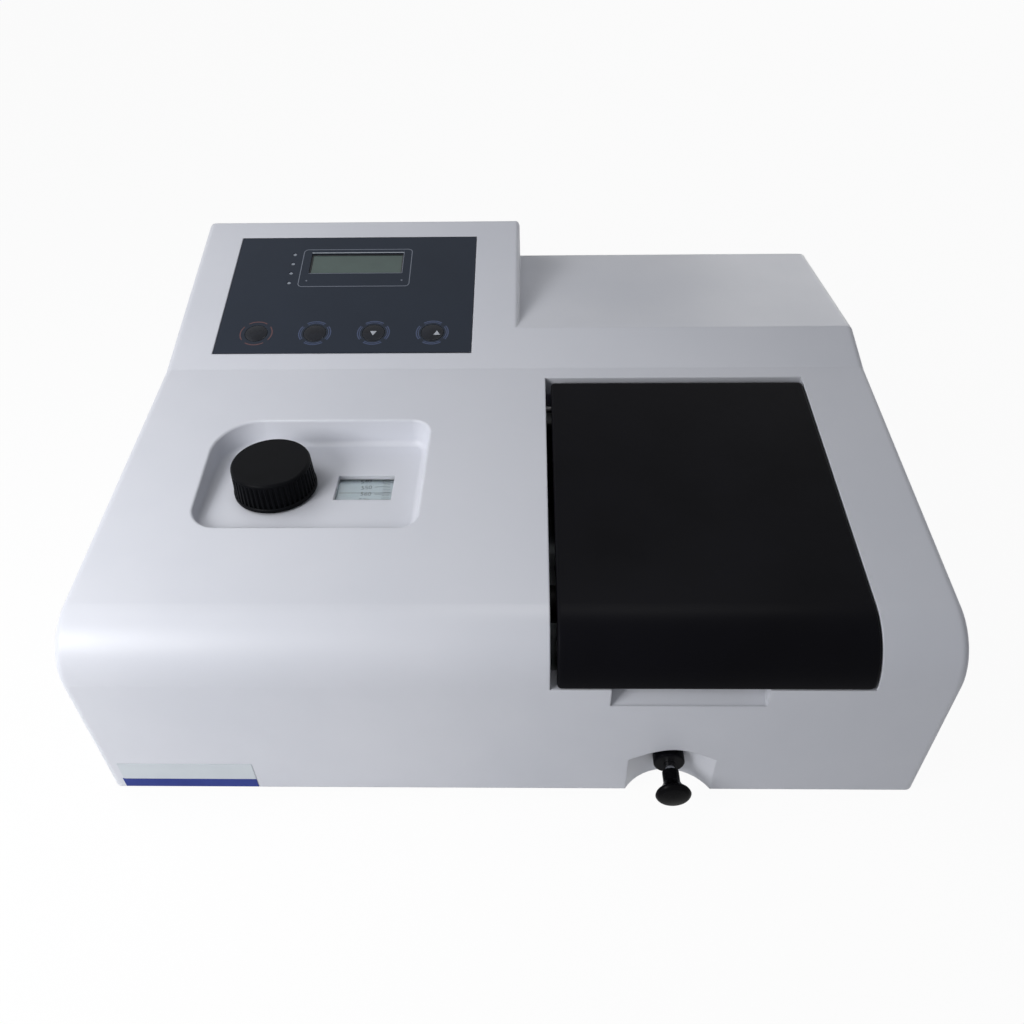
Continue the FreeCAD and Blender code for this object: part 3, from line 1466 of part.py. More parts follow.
# Lamp house
def make_lamp_house():
    """The vented sheet cover over the lamp, with a port towards the condenser."""
    body = new_body("lamp_house")
    left, front = "lamp_house_left", "lamp_house_front"
    right, back = f"{left} + lamp_house_width", f"{front} + lamp_house_length"
    outer = new_sketch(body, "house_outer", "XY_Plane", PLATE_TOP)
    draw_loop(outer, rectangle(left, front, right, back))
    pad(body, outer, "lamp_house_height")
    inner = new_sketch(body, "house_inner", "XY_Plane", PLATE_TOP)
    skin_width = "sheet_thickness"
    draw_loop(inner, rectangle(f"{left} + {skin_width}", f"{front} + {skin_width}",
                               f"{right} - {skin_width}", f"{back} - {skin_width}"))
    cut(body, inner, f"lamp_house_height - {skin_width}", reverse=True)
    port = new_sketch(body, "house_port", "YZ_Plane", f"{left} - 1")
    draw_circle(port, "light_y", "beam_z", "lens_radius - 1")
    cut(body, port, "sheet_thickness + 2", reverse=True)
    vent = new_sketch(body, "house_vent", "XY_Plane", f"{PLATE_TOP} + lamp_house_height + 1")
    draw_loop(vent, rectangle(f"{left} + vent_pitch", f"{front} + 14",
                              f"{left} + vent_pitch + vent_width", f"{back} - 14"))
    repeat(body, cut(body, vent, "sheet_thickness + 2"), vent, "H_Axis", "vent_pitch", 11)
    return place(body)


def make_lamp():
    """The halogen lamp in its ceramic holder."""
    x = "lamp_house_left + lamp_house_width / 2"
    base = "(beam_z - 12)"
    holder = block("holder_block", (f"{x} - 10", "light_y - 12", PLATE_TOP),
                   (20, 24, f"{base} - {PLATE_TOP}"))
    holder_bores = [rod(f"holder_bore_{i}", (x, f"light_y + {dy}", f"{base} - 8"), 0.6, 9)
                    for i, dy in enumerate((-2, 2))]
    holder_item = place(remove("lamp_holder", holder, holder_bores))
    body = new_body("halogen_lamp")
    half = new_sketch(body, "bulb_half", "XZ_Plane")
    draw_loop(half, [
        (0, 0), (4.5, 0), (5.5, 4), (5.5, 17), (3.5, 22, 7), ("tip_flat", 23.5, 6), (0, 23.5),
    ])
    turn(body, half)
    pins = new_sketch(body, "lamp_pins", "XY_Plane")
    draw_circle(pins, 0, 2, 0.5)
    draw_circle(pins, 0, -2, 0.5)
    pad(body, pins, 7.5, reverse=True)
    return [holder_item, place(body, x, "light_y", base)]


def make_condenser():
    """The condenser lens in its barrel, and the mirror that folds the light to the slit."""
    start, length = "lamp_house_left - 26", 26
    outer = rod("barrel_outer", (start, "light_y", "beam_z"), "lens_radius + 3", length, "x")
    foot = block("barrel_foot", (start, "light_y - 12", PLATE_TOP),
                 (length, 24, f"beam_z - lens_radius - {PLATE_TOP}"))
    inner = rod("barrel_inner", (f"{start} - 1", "light_y", "beam_z"), "lens_radius",
                length + 2, "x")
    barrel = place(remove("condenser_barrel", join("barrel_body", [outer, foot]), [inner]))
    body = new_body("condenser_lens")
    half = new_sketch(body, "lens_half", "XZ_Plane")
    draw_loop(half, [
        (0, -4), ("tip_flat", -4), ("lens_radius", -1.5, "lens_radius * 2.6"),
        ("lens_radius", 1.5), ("tip_flat", 4, "lens_radius * 2.6"), (0, 4),
    ])
    turn(body, half)
    lens = place(body, "lamp_house_left - 14", "light_y", "beam_z", TURNS["x"])
    glass = block("fold_glass", (-3, -16, -16), (3, 32, 32))
    post = block("fold_post", (0, -8, f"{PLATE_TOP} - beam_z"), (4, 16, f"beam_z + 12 - {PLATE_TOP}"))
    base = block("fold_base", (0, -12, f"{PLATE_TOP} - beam_z"), (20, 24, 3))
    mirror = place(join("fold_mirror", [glass, post, base]), "light_x", "light_y", "beam_z",
                   Rotation(Vector(0, 0, 1), 135))
    return [barrel, lens, mirror]


# Electronics and rear panel pieces
def make_main_board():
    """The main circuit board on its spacers, with its heat sink and larger parts."""
    left, front, level = "case_left + 20", "case_back + 22", f"{PLATE_TOP} + 9"
    pieces = [block("board_sheet", (left, front, level),
                    ("board_width", "board_depth", "board_thickness"))]
    right, back = f"{left} + board_width - 6", f"{front} + board_depth - 6"
    corners = [(x, y) for y in (f"{front} + 6", back) for x in (f"{left} + 6", right)]
    for i, (x, y) in enumerate(corners):
        pieces.append(rod(f"spacer_{i}", (x, y, PLATE_TOP), 3, 9))
    top = f"{level} + board_thickness"
    for i in range(6):
        pieces.append(block(f"sink_fin_{i}", (f"{left} + {12 + 5 * i}", f"{front} + 60", top),
                            (2, 30, 24)))
    pieces.append(block("sink_base", (f"{left} + 12", f"{front} + 60", top), (27, 30, 3)))
    for i, (dx, dy, radius, tall) in enumerate(((60, 80, 8, 26), (80, 80, 8, 26), (98, 84, 5, 12))):
        pieces.append(rod(f"capacitor_{i}", (f"{left} + {dx}", f"{front} + {dy}", top),
                          radius, tall))
    for i, (dx, dy, width, deep) in enumerate(((50, 30, 34, 12), (95, 28, 18, 18), (20, 20, 16, 8))):
        pieces.append(block(f"chip_{i}", (f"{left} + {dx}", f"{front} + {dy}", top),
                            (width, deep, 3)))
    return place(join("main_board", pieces))


def make_transformer():
    """The mains transformer: a laminated core round its coil, on two feet."""
    left, front = "casing_width - 84", "lamp_house_front + 14"
    core = block("core", (left, front, f"{PLATE_TOP} + 2"),
                 ("core_width", "core_depth", "core_height"))
    coil = block("coil", (f"{left} + 12", f"{front} - 10", f"{PLATE_TOP} + 12"),
                 ("core_width - 24", "core_depth + 20", "core_height - 20"))
    feet = [block(f"core_foot_{i}", (f"{left} + {dx}", f"{front} - 4", PLATE_TOP),
                  (12, "core_depth + 8", 2))
            for i, dx in enumerate((0, "core_width - 12"))]
    return place(join("transformer", [core, coil, *feet]))


def make_mains_inlet():
    """The three-pin appliance inlet, with its flange on the rear panel."""
    shell = block("inlet_shell", ("inlet_x - 14", "casing_depth - 24", "inlet_z - 10"),
                  (28, 24, 20))
    flange = block("inlet_flange", ("inlet_x - 17", "casing_depth", "inlet_z - 13"),
                   (34, "rear_proud", 26))
    hollow = block("inlet_hollow", ("inlet_x - 12", "casing_depth - 17", "inlet_z - 8"),
                   (24, 30, 16))
    shell_cut = remove("inlet_case", join("inlet_body", [shell, flange]), [hollow])
    pins = [
        block(f"inlet_pin_{i}", (f"inlet_x + {dx} - 1", "casing_depth - 18", f"inlet_z + {dz} - 2"),
              (2, 14, 4))
        for i, (dx, dz) in enumerate(((-7, -2), (7, -2), (0, 3)))
    ]
    return place(join("mains_inlet", [shell_cut, *pins]))


def make_power_switch():
    """The mains switch body, and the rocker that tilts in it."""
    shell = block("switch_shell", ("switch_x - 9.5", "casing_depth - 20", "inlet_z - 12"),
                  (19, 20, 24))
    bezel = block("switch_bezel", ("switch_x - 12", "casing_depth", "inlet_z - 14.5"),
                  (24, "rear_proud", 29))
    well = block("switch_well", ("switch_x - rocker_width / 2 - 0.3", "casing_depth - 10",
                                 "inlet_z - rocker_height / 2 - 1.1"),
                 ("rocker_width + 0.6", 20, "rocker_height + 2.2"))
    axle_y = "casing_depth - 4"
    bore = rod("rocker_bore", ("switch_x - rocker_width / 2 - 1.7", axle_y, "inlet_z"),
               "1.2 + slide_gap", "rocker_width + 3.4", "x")
    switch = place(remove("power_switch", join("switch_body", [shell, bezel]), [well, bore]))
    body = new_body("power_rocker")
    side = new_sketch(body, "rocker_side", "YZ_Plane")
    tall = "rocker_height / 2"
    draw_loop(side, [
        (4.2, 0), (5.4, tall), (-1, f"{tall} - 1"), (-4, 3), (-4, -3),
        (-1, f"1 - {tall}"), (5.4, f"-{tall}"),
    ])
    pad(body, side, "rocker_width", middle=True)
    axle = new_sketch(body, "rocker_axle", "YZ_Plane")
    draw_circle(axle, 0, 0, 1.2)
    pad(body, axle, "rocker_width + 3", middle=True)
    tilt = Rotation(Vector(1, 0, 0), number("rocker_tilt"))
    rocker = place(body, "switch_x", axle_y, "inlet_z", tilt)
    return [switch, rocker]


def make_rear_panel_screws():
    """The screws that hold the rear panel to the ledge behind it."""
    screws = [
        screw(f"panel_screw_{index}", (x, "casing_depth", z), 8, "y", upwards=False)
        for index, (x, z) in enumerate(PANEL_SCREWS)
    ]
    return place(group("rear_panel_screws", screws))


# Console
def make_display_panel():
    """The dark console overlay, with its display window, lamp holes and key holes."""
    body = new_body("display_panel")
    sheet_outline = new_sketch(body, "overlay", "XY_Plane", "panel_proud - panel_thickness")
    draw_loop(sheet_outline, rectangle("panel_left", "panel_low", "panel_left + panel_width",
                                       "panel_low + panel_length"))
    pad(body, sheet_outline, "panel_thickness")
    holes = new_sketch(body, "overlay_holes", "XY_Plane", "panel_proud")
    draw_loop(holes, rectangle("display_left", "display_low", "display_left + display_width",
                               "display_low + display_length"))
    for index in range(4):
        draw_circle(holes, "led_x", f"led_low + {index} * led_pitch", "led_radius + 0.2")
        draw_circle(holes, f"key_x + {index} * key_pitch", "key_row", "key_radius + key_gap")
    cut(body, holes, "2 * panel_thickness")
    return place_on_console(body, 0, 0, 0)


def make_display_board():
    """The board behind the console, with a push switch under each key."""
    sheet_item = block("display_sheet", ("panel_left + 8", "panel_low + 4", "-board_drop"),
                       ("panel_width - 14", "panel_length - 10", "board_thickness"))
    switches = [
        block(f"push_switch_{i}", (f"key_x + {i} * key_pitch - 3", "key_row - 3", BOARD_TOP),
              (6, 6, 3.5))
        for i in range(4)
    ]
    return place_on_console(join("display_board", [sheet_item, *switches]), 0, 0, 0)


def make_lcd_module():
    """The liquid crystal display in its frame, set in the opening behind the overlay."""
    margin = "(wall - 0.5)"
    high = "(panel_proud - panel_thickness - 0.3)"
    frame = block("lcd_frame", (f"display_left - {margin}", f"display_low - {margin}", BOARD_TOP),
                  (f"display_width + 2 * {margin}", f"display_length + 2 * {margin}",
                   f"{high} - {BOARD_TOP}"))
    return place_on_console(group("lcd_module", [frame]), 0, 0, 0)


def make_indicator_leds():
    """Four small indicator lamps in a column left of the display."""
    lamps = [
        rod(f"led_{i}", ("led_x", f"led_low + {i} * led_pitch", BOARD_TOP), "led_radius",
            f"panel_proud - 0.3 - {BOARD_TOP}")
        for i in range(4)
    ]
    return place_on_console(group("indicator_leds", lamps), 0, 0, 0)


KEYS = ("mode_key", "enter_key", "down_key", "up_key")


def make_keys():
    """Four round keys in the overlay, each with a stem over its push switch."""
    keys = []
    for index, label in enumerate(KEYS):
        body = new_body(label)
        half = new_sketch(body, f"{label}_half", "XZ_Plane")
        low, stem_low = -2.4, f"{BOARD_TOP} + 3.5 + key_travel + 0.2"
        draw_loop(half, [
            (0, stem_low), ("stem_radius", stem_low), ("stem_radius", low), ("key_radius", low),
            ("key_radius", 0.2), ("tip_flat", 0.9, "key_radius * 5"), (0, 0.9),
        ])
        turn(body, half)
        keys.append(place_on_console(body, f"key_x + {index} * key_pitch", "key_row", 0))
    return keys


# Building and export
MAKERS = (
    make_top_cover, make_base_plate, make_feet, make_base_screws, make_rear_panel,
    make_rear_panel_screws, make_mains_inlet, make_power_switch, make_sample_lid, make_hinge_pins,
    make_sample_chamber, make_lid_seal, make_guide_rods, make_cell_carriage, make_pull_rod,
    make_pull_knob, make_rod_bush, make_windows, make_beam_tube, make_detector,
    make_monochromator, make_mirrors, make_grating, make_follower, make_return_spring, make_cam,
    make_dial, make_knob_shaft, make_shaft_bush, make_wavelength_knob, make_dial_window,
    make_lamp_house, make_lamp, make_condenser, make_main_board, make_transformer,
    make_display_panel, make_display_board, make_lcd_module, make_indicator_leds, make_keys,
)


def build_all():
    """Make every sub-part and check it before anything is written."""
    made = []
    for maker in MAKERS:
        result = maker()
        made += result if isinstance(result, list) else [result]
    doc.recompute()
    for item in doc.Objects:
        if {"Invalid", "Error"} & set(item.State):
            raise RuntimeError(f"{item.Label} did not compute: {item.State}")
    for item in made:
        if item.Shape.isNull() or not item.Shape.isValid() or not item.Shape.Solids:
            raise RuntimeError(f"{item.Label} has no valid solid")
    return made


def export(items):
    os.makedirs("parts", exist_ok=True)
    for item in items:
        item.Shape.exportStep(os.path.join("parts", f"{item.Label}.step"))


export(build_all())
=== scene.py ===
import logging
import math
from dataclasses import dataclass, field
from enum import Enum
from typing import Callable, Optional, Sequence

import bmesh
import bpy
from mathutils import Matrix, Vector


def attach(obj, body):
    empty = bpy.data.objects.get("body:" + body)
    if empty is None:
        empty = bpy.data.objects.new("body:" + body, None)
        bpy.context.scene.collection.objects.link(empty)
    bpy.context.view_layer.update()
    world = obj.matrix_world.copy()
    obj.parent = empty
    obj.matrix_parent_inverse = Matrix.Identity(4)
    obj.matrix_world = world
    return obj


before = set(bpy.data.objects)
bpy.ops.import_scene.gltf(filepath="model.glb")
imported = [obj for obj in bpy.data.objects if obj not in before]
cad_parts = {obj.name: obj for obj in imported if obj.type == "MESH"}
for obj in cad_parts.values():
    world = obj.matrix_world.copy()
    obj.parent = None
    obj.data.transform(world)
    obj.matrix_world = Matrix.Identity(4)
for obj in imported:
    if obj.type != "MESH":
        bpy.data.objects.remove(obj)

# Visible spectrophotometer: the looks of a bench instrument in a light grey moulded casing.
# Sizes are in casing millimetres: X to the right from the left side, Y back from the front
# face, Z up from the casing's lower edge. The functions at and on_console turn them to metres.

log = logging.getLogger("spectrophotometer")

CASING_WIDTH = 460.0
FRONT_OFFSET = -186.3
FOOT_HEIGHT = 8.0
SUNK = -0.05
# Colour and reach of the painted shade, tinted as dust, that ambient occlusion lays in corners.
DUST_AND_SHADE_COLOUR = "5A5650"
DUST_AND_SHADE_REACH = 6.0
COAT_ROUGHNESS = 0.06
DECK_HEIGHT = 120.5
DECK_SLOPE = math.radians(6)
CREASE_DEPTH = 220.0
CONSOLE_SLOPE = math.radians(15)
MM = 0.001

Point = tuple[float, float]
Colour = tuple[float, float, float, float]


def at(x: float, y: float, z: float) -> Vector:
    """Turn a place on the casing into the shared frame.

    Args:
        x: Millimetres to the right from the left side.
        y: Millimetres back from the front face.
        z: Millimetres up from the casing's lower edge.

    Returns:
        The same place in metres, in the row frame.
    """
    return Vector((x - CASING_WIDTH / 2, y + FRONT_OFFSET, z + FOOT_HEIGHT)) * MM


def on_console(x: float, along: float, up: float = 0.0) -> Vector:
    """Turn a place on the sloping console into the shared frame.

    Args:
        x: Millimetres to the right from the left side.
        along: Millimetres up the slope from the crease in front of the console.
        up: Millimetres out from the console's face.

    Returns:
        The place in metres, in the row frame.
    """
    crease = DECK_HEIGHT + CREASE_DEPTH * math.tan(DECK_SLOPE)
    cos, sin = math.cos(CONSOLE_SLOPE), math.sin(CONSOLE_SLOPE)
    return at(x, CREASE_DEPTH + along * cos - up * sin, crease + along * sin + up * cos)


def linear(hex_colour: str) -> Colour:
    """Turn an sRGB hex colour into linear light.

    Args:
        hex_colour: Six hex digits, with or without a leading sign.

    Returns:
        Red, green, blue and an alpha of one.
    """
    digits = hex_colour.lstrip("#")
    values = [int(digits[i:i + 2], 16) / 255 for i in (0, 2, 4)]
    red, green, blue = (
        v / 12.92 if v <= 0.04045 else ((v + 0.055) / 1.055) ** 2.4 for v in values
    )
    return (red, green, blue, 1.0)


def add(tree: bpy.types.NodeTree, kind: str, settings: Optional[dict] = None,
        links: Optional[dict] = None) -> bpy.types.Node:
    """Add one node with its settings and the links into it.

    Args:
        tree: The node tree that takes the node.
        kind: The node's type name.
        settings: Socket values by name or number, or properties of the node.
        links: Output sockets by the name or number of the input that they feed.

    Returns:
        The new node.
    """
    node = tree.nodes.new(kind)
    for name, value in (settings or {}).items():
        if isinstance(name, int) or name in node.inputs:
            node.inputs[name].default_value = value
        else:
            setattr(node, name, value)
    for name, output in (links or {}).items():
        tree.links.new(output, node.inputs[name])
    return node


class Texture(Enum):
    """How a surface was made, which sets the pattern that it shows."""

    GRAINED = "fine moulded grain"
    BRUSHED = "fine lines along one way"
    TURNED = "fine rings round an axis"
    CAST = "coarse sand-cast skin"
    SMOOTH = "polished or printed"


@dataclass(frozen=True)
class Finish:
    """One finish: what it is made of, its colours, and the scale of its pattern.

    Attributes:
        name: The material's name, after what it is and how it was made.
        colour: The main colour, as sRGB hex.
        second: The colour of its mottling and of worn places, as sRGB hex.
        roughness: How matt it is, from 0 to 1.
        spread: How much the roughness wanders over the surface.
        metallic: 1 for bare metal.
        texture: How the surface was made.
        grain: The pattern's size in millimetres.
        depth: The pattern's height in millimetres.
        mottle: How strongly the second colour shows in the mottling.
        mottle_size: The size of the mottling in millimetres.
        edge: The radius in millimetres to which edges look rounded.
        dirt: How much painted shade, tinted as dust, darkens the corners where ambient occlusion
            is low.
        ior: The index of refraction where it isn't a metal.
        coat: The weight of a clear coat.
        clear: The share of light that it lets through.
    """

    name: str
    colour: str
    second: str
    roughness: float
    spread: float = 0.05
    metallic: float = 0.0
    texture: Texture = Texture.GRAINED
    grain: float = 0.5
    depth: float = 0.02
    mottle: float = 0.3
    mottle_size: float = 60.0
    edge: float = 0.6
    dirt: float = 0.15
    ior: float = 1.5
    coat: float = 0.0
    clear: float = 0.0


# ABS, injection moulded against a spark-eroded tool: a soft satin with a fine even grain.
MOULDED_ABS = Finish("moulded_abs_light_grey", "D9DBE3", "CFD2DB", 0.42, 0.05, grain=0.55,
                     depth=0.012, mottle=0.55, mottle_size=110, edge=1.3, dirt=0.22, ior=1.53)
# ABS, injection moulded and finely textured: black satin with a soft broad gloss.
BLACK_ABS = Finish("moulded_abs_black_satin", "0A0A0E", "0E0E13", 0.38, 0.06, grain=0.5,
                   depth=0.010, mottle=0.7, mottle_size=70, edge=1.1, dirt=0.1, ior=1.11)
# Phenolic, compression moulded: near black and a little glossier on its worn ribs.
PHENOLIC = Finish("moulded_phenolic_black", "090A0D", "0E0F12", 0.4, 0.08, grain=0.35,
                  depth=0.008, mottle=0.8, mottle_size=14, edge=0.35, dirt=0.15, ior=1.12)
# Acetal, turned and polished: black with a clear gloss, as a pull knob wears.
ACETAL = Finish("turned_acetal_black", "08080A", "0D0D10", 0.26, 0.06, texture=Texture.TURNED,
                grain=0.4, depth=0.002, mottle=0.5, mottle_size=8, edge=0.4, dirt=0.1, ior=1.11)
# Polyester film, screen printed on its back: dark slate with an even, slightly soft gloss.
PRINTED_FILM = Finish("screen_printed_polyester_slate", "2B323E", "272D38", 0.34, 0.04,
                      grain=0.3, depth=0.003, mottle=0.6, mottle_size=45, edge=0.25, dirt=0.1,
                      ior=1.2)
# Polyester film pushed up over a key: as the panel's film, darker and glossier on its dome.
KEY_FILM = Finish("embossed_polyester_key", "171A21", "20242D", 0.28, 0.06, grain=0.3,
                  depth=0.003, mottle=0.6, mottle_size=9, edge=0.8, dirt=0.2, ior=1.25)
# Ink, screen printed: flat and thin.
INK_BLUE = Finish("screen_ink_blue", "26375A", "21304E", 0.5, texture=Texture.SMOOTH, edge=0.02)
INK_RED = Finish("screen_ink_red", "4C282D", "422327", 0.5, texture=Texture.SMOOTH, edge=0.02)
INK_PALE = Finish("screen_ink_pale_grey", "666D7B", "5B616E", 0.5, texture=Texture.SMOOTH,
                  edge=0.02)
INK_BLACK = Finish("screen_ink_black", "1B1D21", "24272C", 0.55, texture=Texture.SMOOTH,
                   edge=0.02, dirt=0.0)
INK_WHITE = Finish("screen_ink_white", "AEB2BB", "A2A6AF", 0.5, texture=Texture.SMOOTH,
                   edge=0.02)
# Painted highlight on the film's cut and polished edge: a pale colour stands for the line where
# it catches the light.
PAINTED_HIGHLIGHT_EDGE = Finish("painted_highlight_display_edge", "9BA3AD", "8D959F", 0.3, texture=Texture.SMOOTH,
                  edge=0.05, dirt=0.0)
# Vinyl, printed and stuck on: a smooth sheet with a clean cut edge.
VINYL_PALE = Finish("printed_vinyl_pale", "CDD4DA", "C6CDD4", 0.38, texture=Texture.SMOOTH,
                    mottle=0.5, mottle_size=20, edge=0.1, dirt=0.1)
VINYL_BLUE = Finish("printed_vinyl_blue", "1B328A", "182C7C", 0.4, texture=Texture.SMOOTH,
                    mottle=0.6, mottle_size=20, edge=0.1, dirt=0.1, ior=1.25)
# Glass, polished over a liquid crystal cell: grey green with a sharp reflection.
CELL_GLASS = Finish("polished_display_cell_glass", "4A5C58", "40504D", 0.12,
                    texture=Texture.SMOOTH, mottle=0.8, mottle_size=30, edge=0.2, dirt=0.25,
                    ior=1.4, coat=0.1)
# Steel, pressed and painted black: the frame that holds the display's glass.
FRAME_STEEL = Finish("pressed_steel_black", "17191D", "24272C", 0.4, metallic=0.2, grain=0.4,
                     depth=0.004, edge=0.3)
# Enamel on aluminium, smooth and white: the dial, a little grey with age.
DIAL_ENAMEL = Finish("enamelled_aluminium_white", "B9C4CC", "AAB7C0", 0.35,
                     texture=Texture.SMOOTH, mottle=0.6, mottle_size=25, edge=0.2)
# Acrylic, cast and polished: the clear plate over the dial.
CLEAR_ACRYLIC = Finish("cast_acrylic_clear", "F2F6F7", "FFFFFF", 0.05, texture=Texture.SMOOTH,
                       mottle=0.0, edge=0.15, dirt=0.0, ior=1.49, clear=1.0)
# Fused silica, ground and polished: lenses, windows and the lamp's bulb.
SILICA = Finish("polished_fused_silica", "F4F8FA", "FFFFFF", 0.03, texture=Texture.SMOOTH,
                mottle=0.0, edge=0.15, dirt=0.0, ior=1.46, clear=1.0)
# Steel, ground and nickel plated: bright with fine rings.
PLATED_STEEL = Finish("nickel_plated_steel", "C9CACD", "B2B3B6", 0.16, 0.05, 1.0,
                      Texture.TURNED, 0.35, 0.002, 0.5, 12, 0.3, 0.2)
# Steel, ground: grey with fine even lines.
GROUND_STEEL = Finish("ground_steel", "A6A8AB", "8E9094", 0.3, 0.08, 1.0, Texture.BRUSHED,
                      0.4, 0.003, 0.5, 18, 0.3, 0.25)
# Steel sheet, zinc plated and passivated: pale grey blue with soft cloudy patches.
ZINC_STEEL = Finish("zinc_plated_steel_sheet", "A7ABAD", "8B9196", 0.38, 0.1, 1.0,
                    Texture.BRUSHED, 0.6, 0.004, 0.8, 26, 0.4, 0.3)
# Aluminium, sand cast, then milled on its faces: grey with a coarse skin.
CAST_ALUMINIUM = Finish("sand_cast_aluminium", "8D9093", "797C80", 0.5, 0.12, 1.0,
                        Texture.CAST, 1.4, 0.06, 0.7, 30, 0.5, 0.35)
# Aluminium, black anodised: a dead black that keeps stray light down.
ANODISED = Finish("black_anodised_aluminium", "19191C", "212125", 0.5, 0.08, 0.3,
                  grain=0.45, depth=0.006, mottle=0.7, mottle_size=25, edge=0.4, dirt=0.2)
# Steel sheet with a baked powder coat: mid grey with a fine orange peel.
POWDER_COAT = Finish("powder_coated_steel_grey", "9A9DA3", "8B8E95", 0.45, 0.06, grain=0.9,
                     depth=0.02, mottle=0.5, mottle_size=40, edge=0.4, dirt=0.3)
# Brass, turned: warm with fine rings.
BRASS = Finish("turned_brass", "B6925A", "9A7844", 0.26, 0.07, 1.0, Texture.TURNED, 0.4,
               0.003, 0.5, 12, 0.3, 0.25)
# Rubber, moulded: dark and dull, with painted shade tinted as dust in its corners.
RUBBER = Finish("moulded_rubber_black", "1E1E1F", "2A2A2B", 0.78, 0.06, grain=0.5,
                depth=0.02, mottle=0.8, mottle_size=9, edge=0.7, dirt=0.3, ior=1.52)
# Polyurethane foam, cut from sheet: black with open cells that show as a fine pitting.
FOAM = Finish("open_cell_foam_black", "17171A", "242428", 0.92, 0.04, texture=Texture.CAST,
              grain=0.8, depth=0.15, mottle=0.8, mottle_size=4, edge=0.4, dirt=0.3)
# Glass, silvered on its front: a clean mirror with a blue-grey rim.
MIRROR = Finish("front_silvered_glass", "DADDE0", "C8CCD1", 0.03, 0.01, 1.0,
                Texture.SMOOTH, mottle=0.3, edge=0.3, dirt=0.1)
# Glass-fibre board under green solder resist: glossy with darker runs.
BOARD = Finish("glass_fibre_board_green", "1E5A3C", "164A30", 0.3, 0.08, grain=0.5,
               depth=0.01, mottle=1.0, mottle_size=3.5, edge=0.2, dirt=0.2)
# Iron laminations and coil under varnish: brown black.
VARNISHED_IRON = Finish("varnished_iron_laminations", "3A2E24", "2A211A", 0.4, 0.1, 0.3,
                        Texture.BRUSHED, 0.5, 0.02, 0.8, 10, 0.4, 0.4)
# Steatite, pressed and fired: off-white and dull.
CERAMIC = Finish("fired_steatite", "D8D3C4", "C6C0AE", 0.6, 0.06, grain=0.5, depth=0.01,
                 mottle=0.6, mottle_size=9, edge=0.4, dirt=0.3)
# Nylon, moulded: the inlet and the switch, black and slightly shiny.
NYLON = Finish("moulded_nylon_black", "131315", "1B1B1E", 0.34, 0.05, grain=0.4, depth=0.006,
               mottle=0.6, mottle_size=12, edge=0.5, dirt=0.2)
# Epoxy, cast round a light-emitting chip: pale and milky when it is off.
LED_EPOXY = Finish("cast_epoxy_milky", "7F8794", "959CA8", 0.25, texture=Texture.SMOOTH,
                   mottle=0.5, mottle_size=2, edge=0.3, dirt=0.1, ior=1.54)


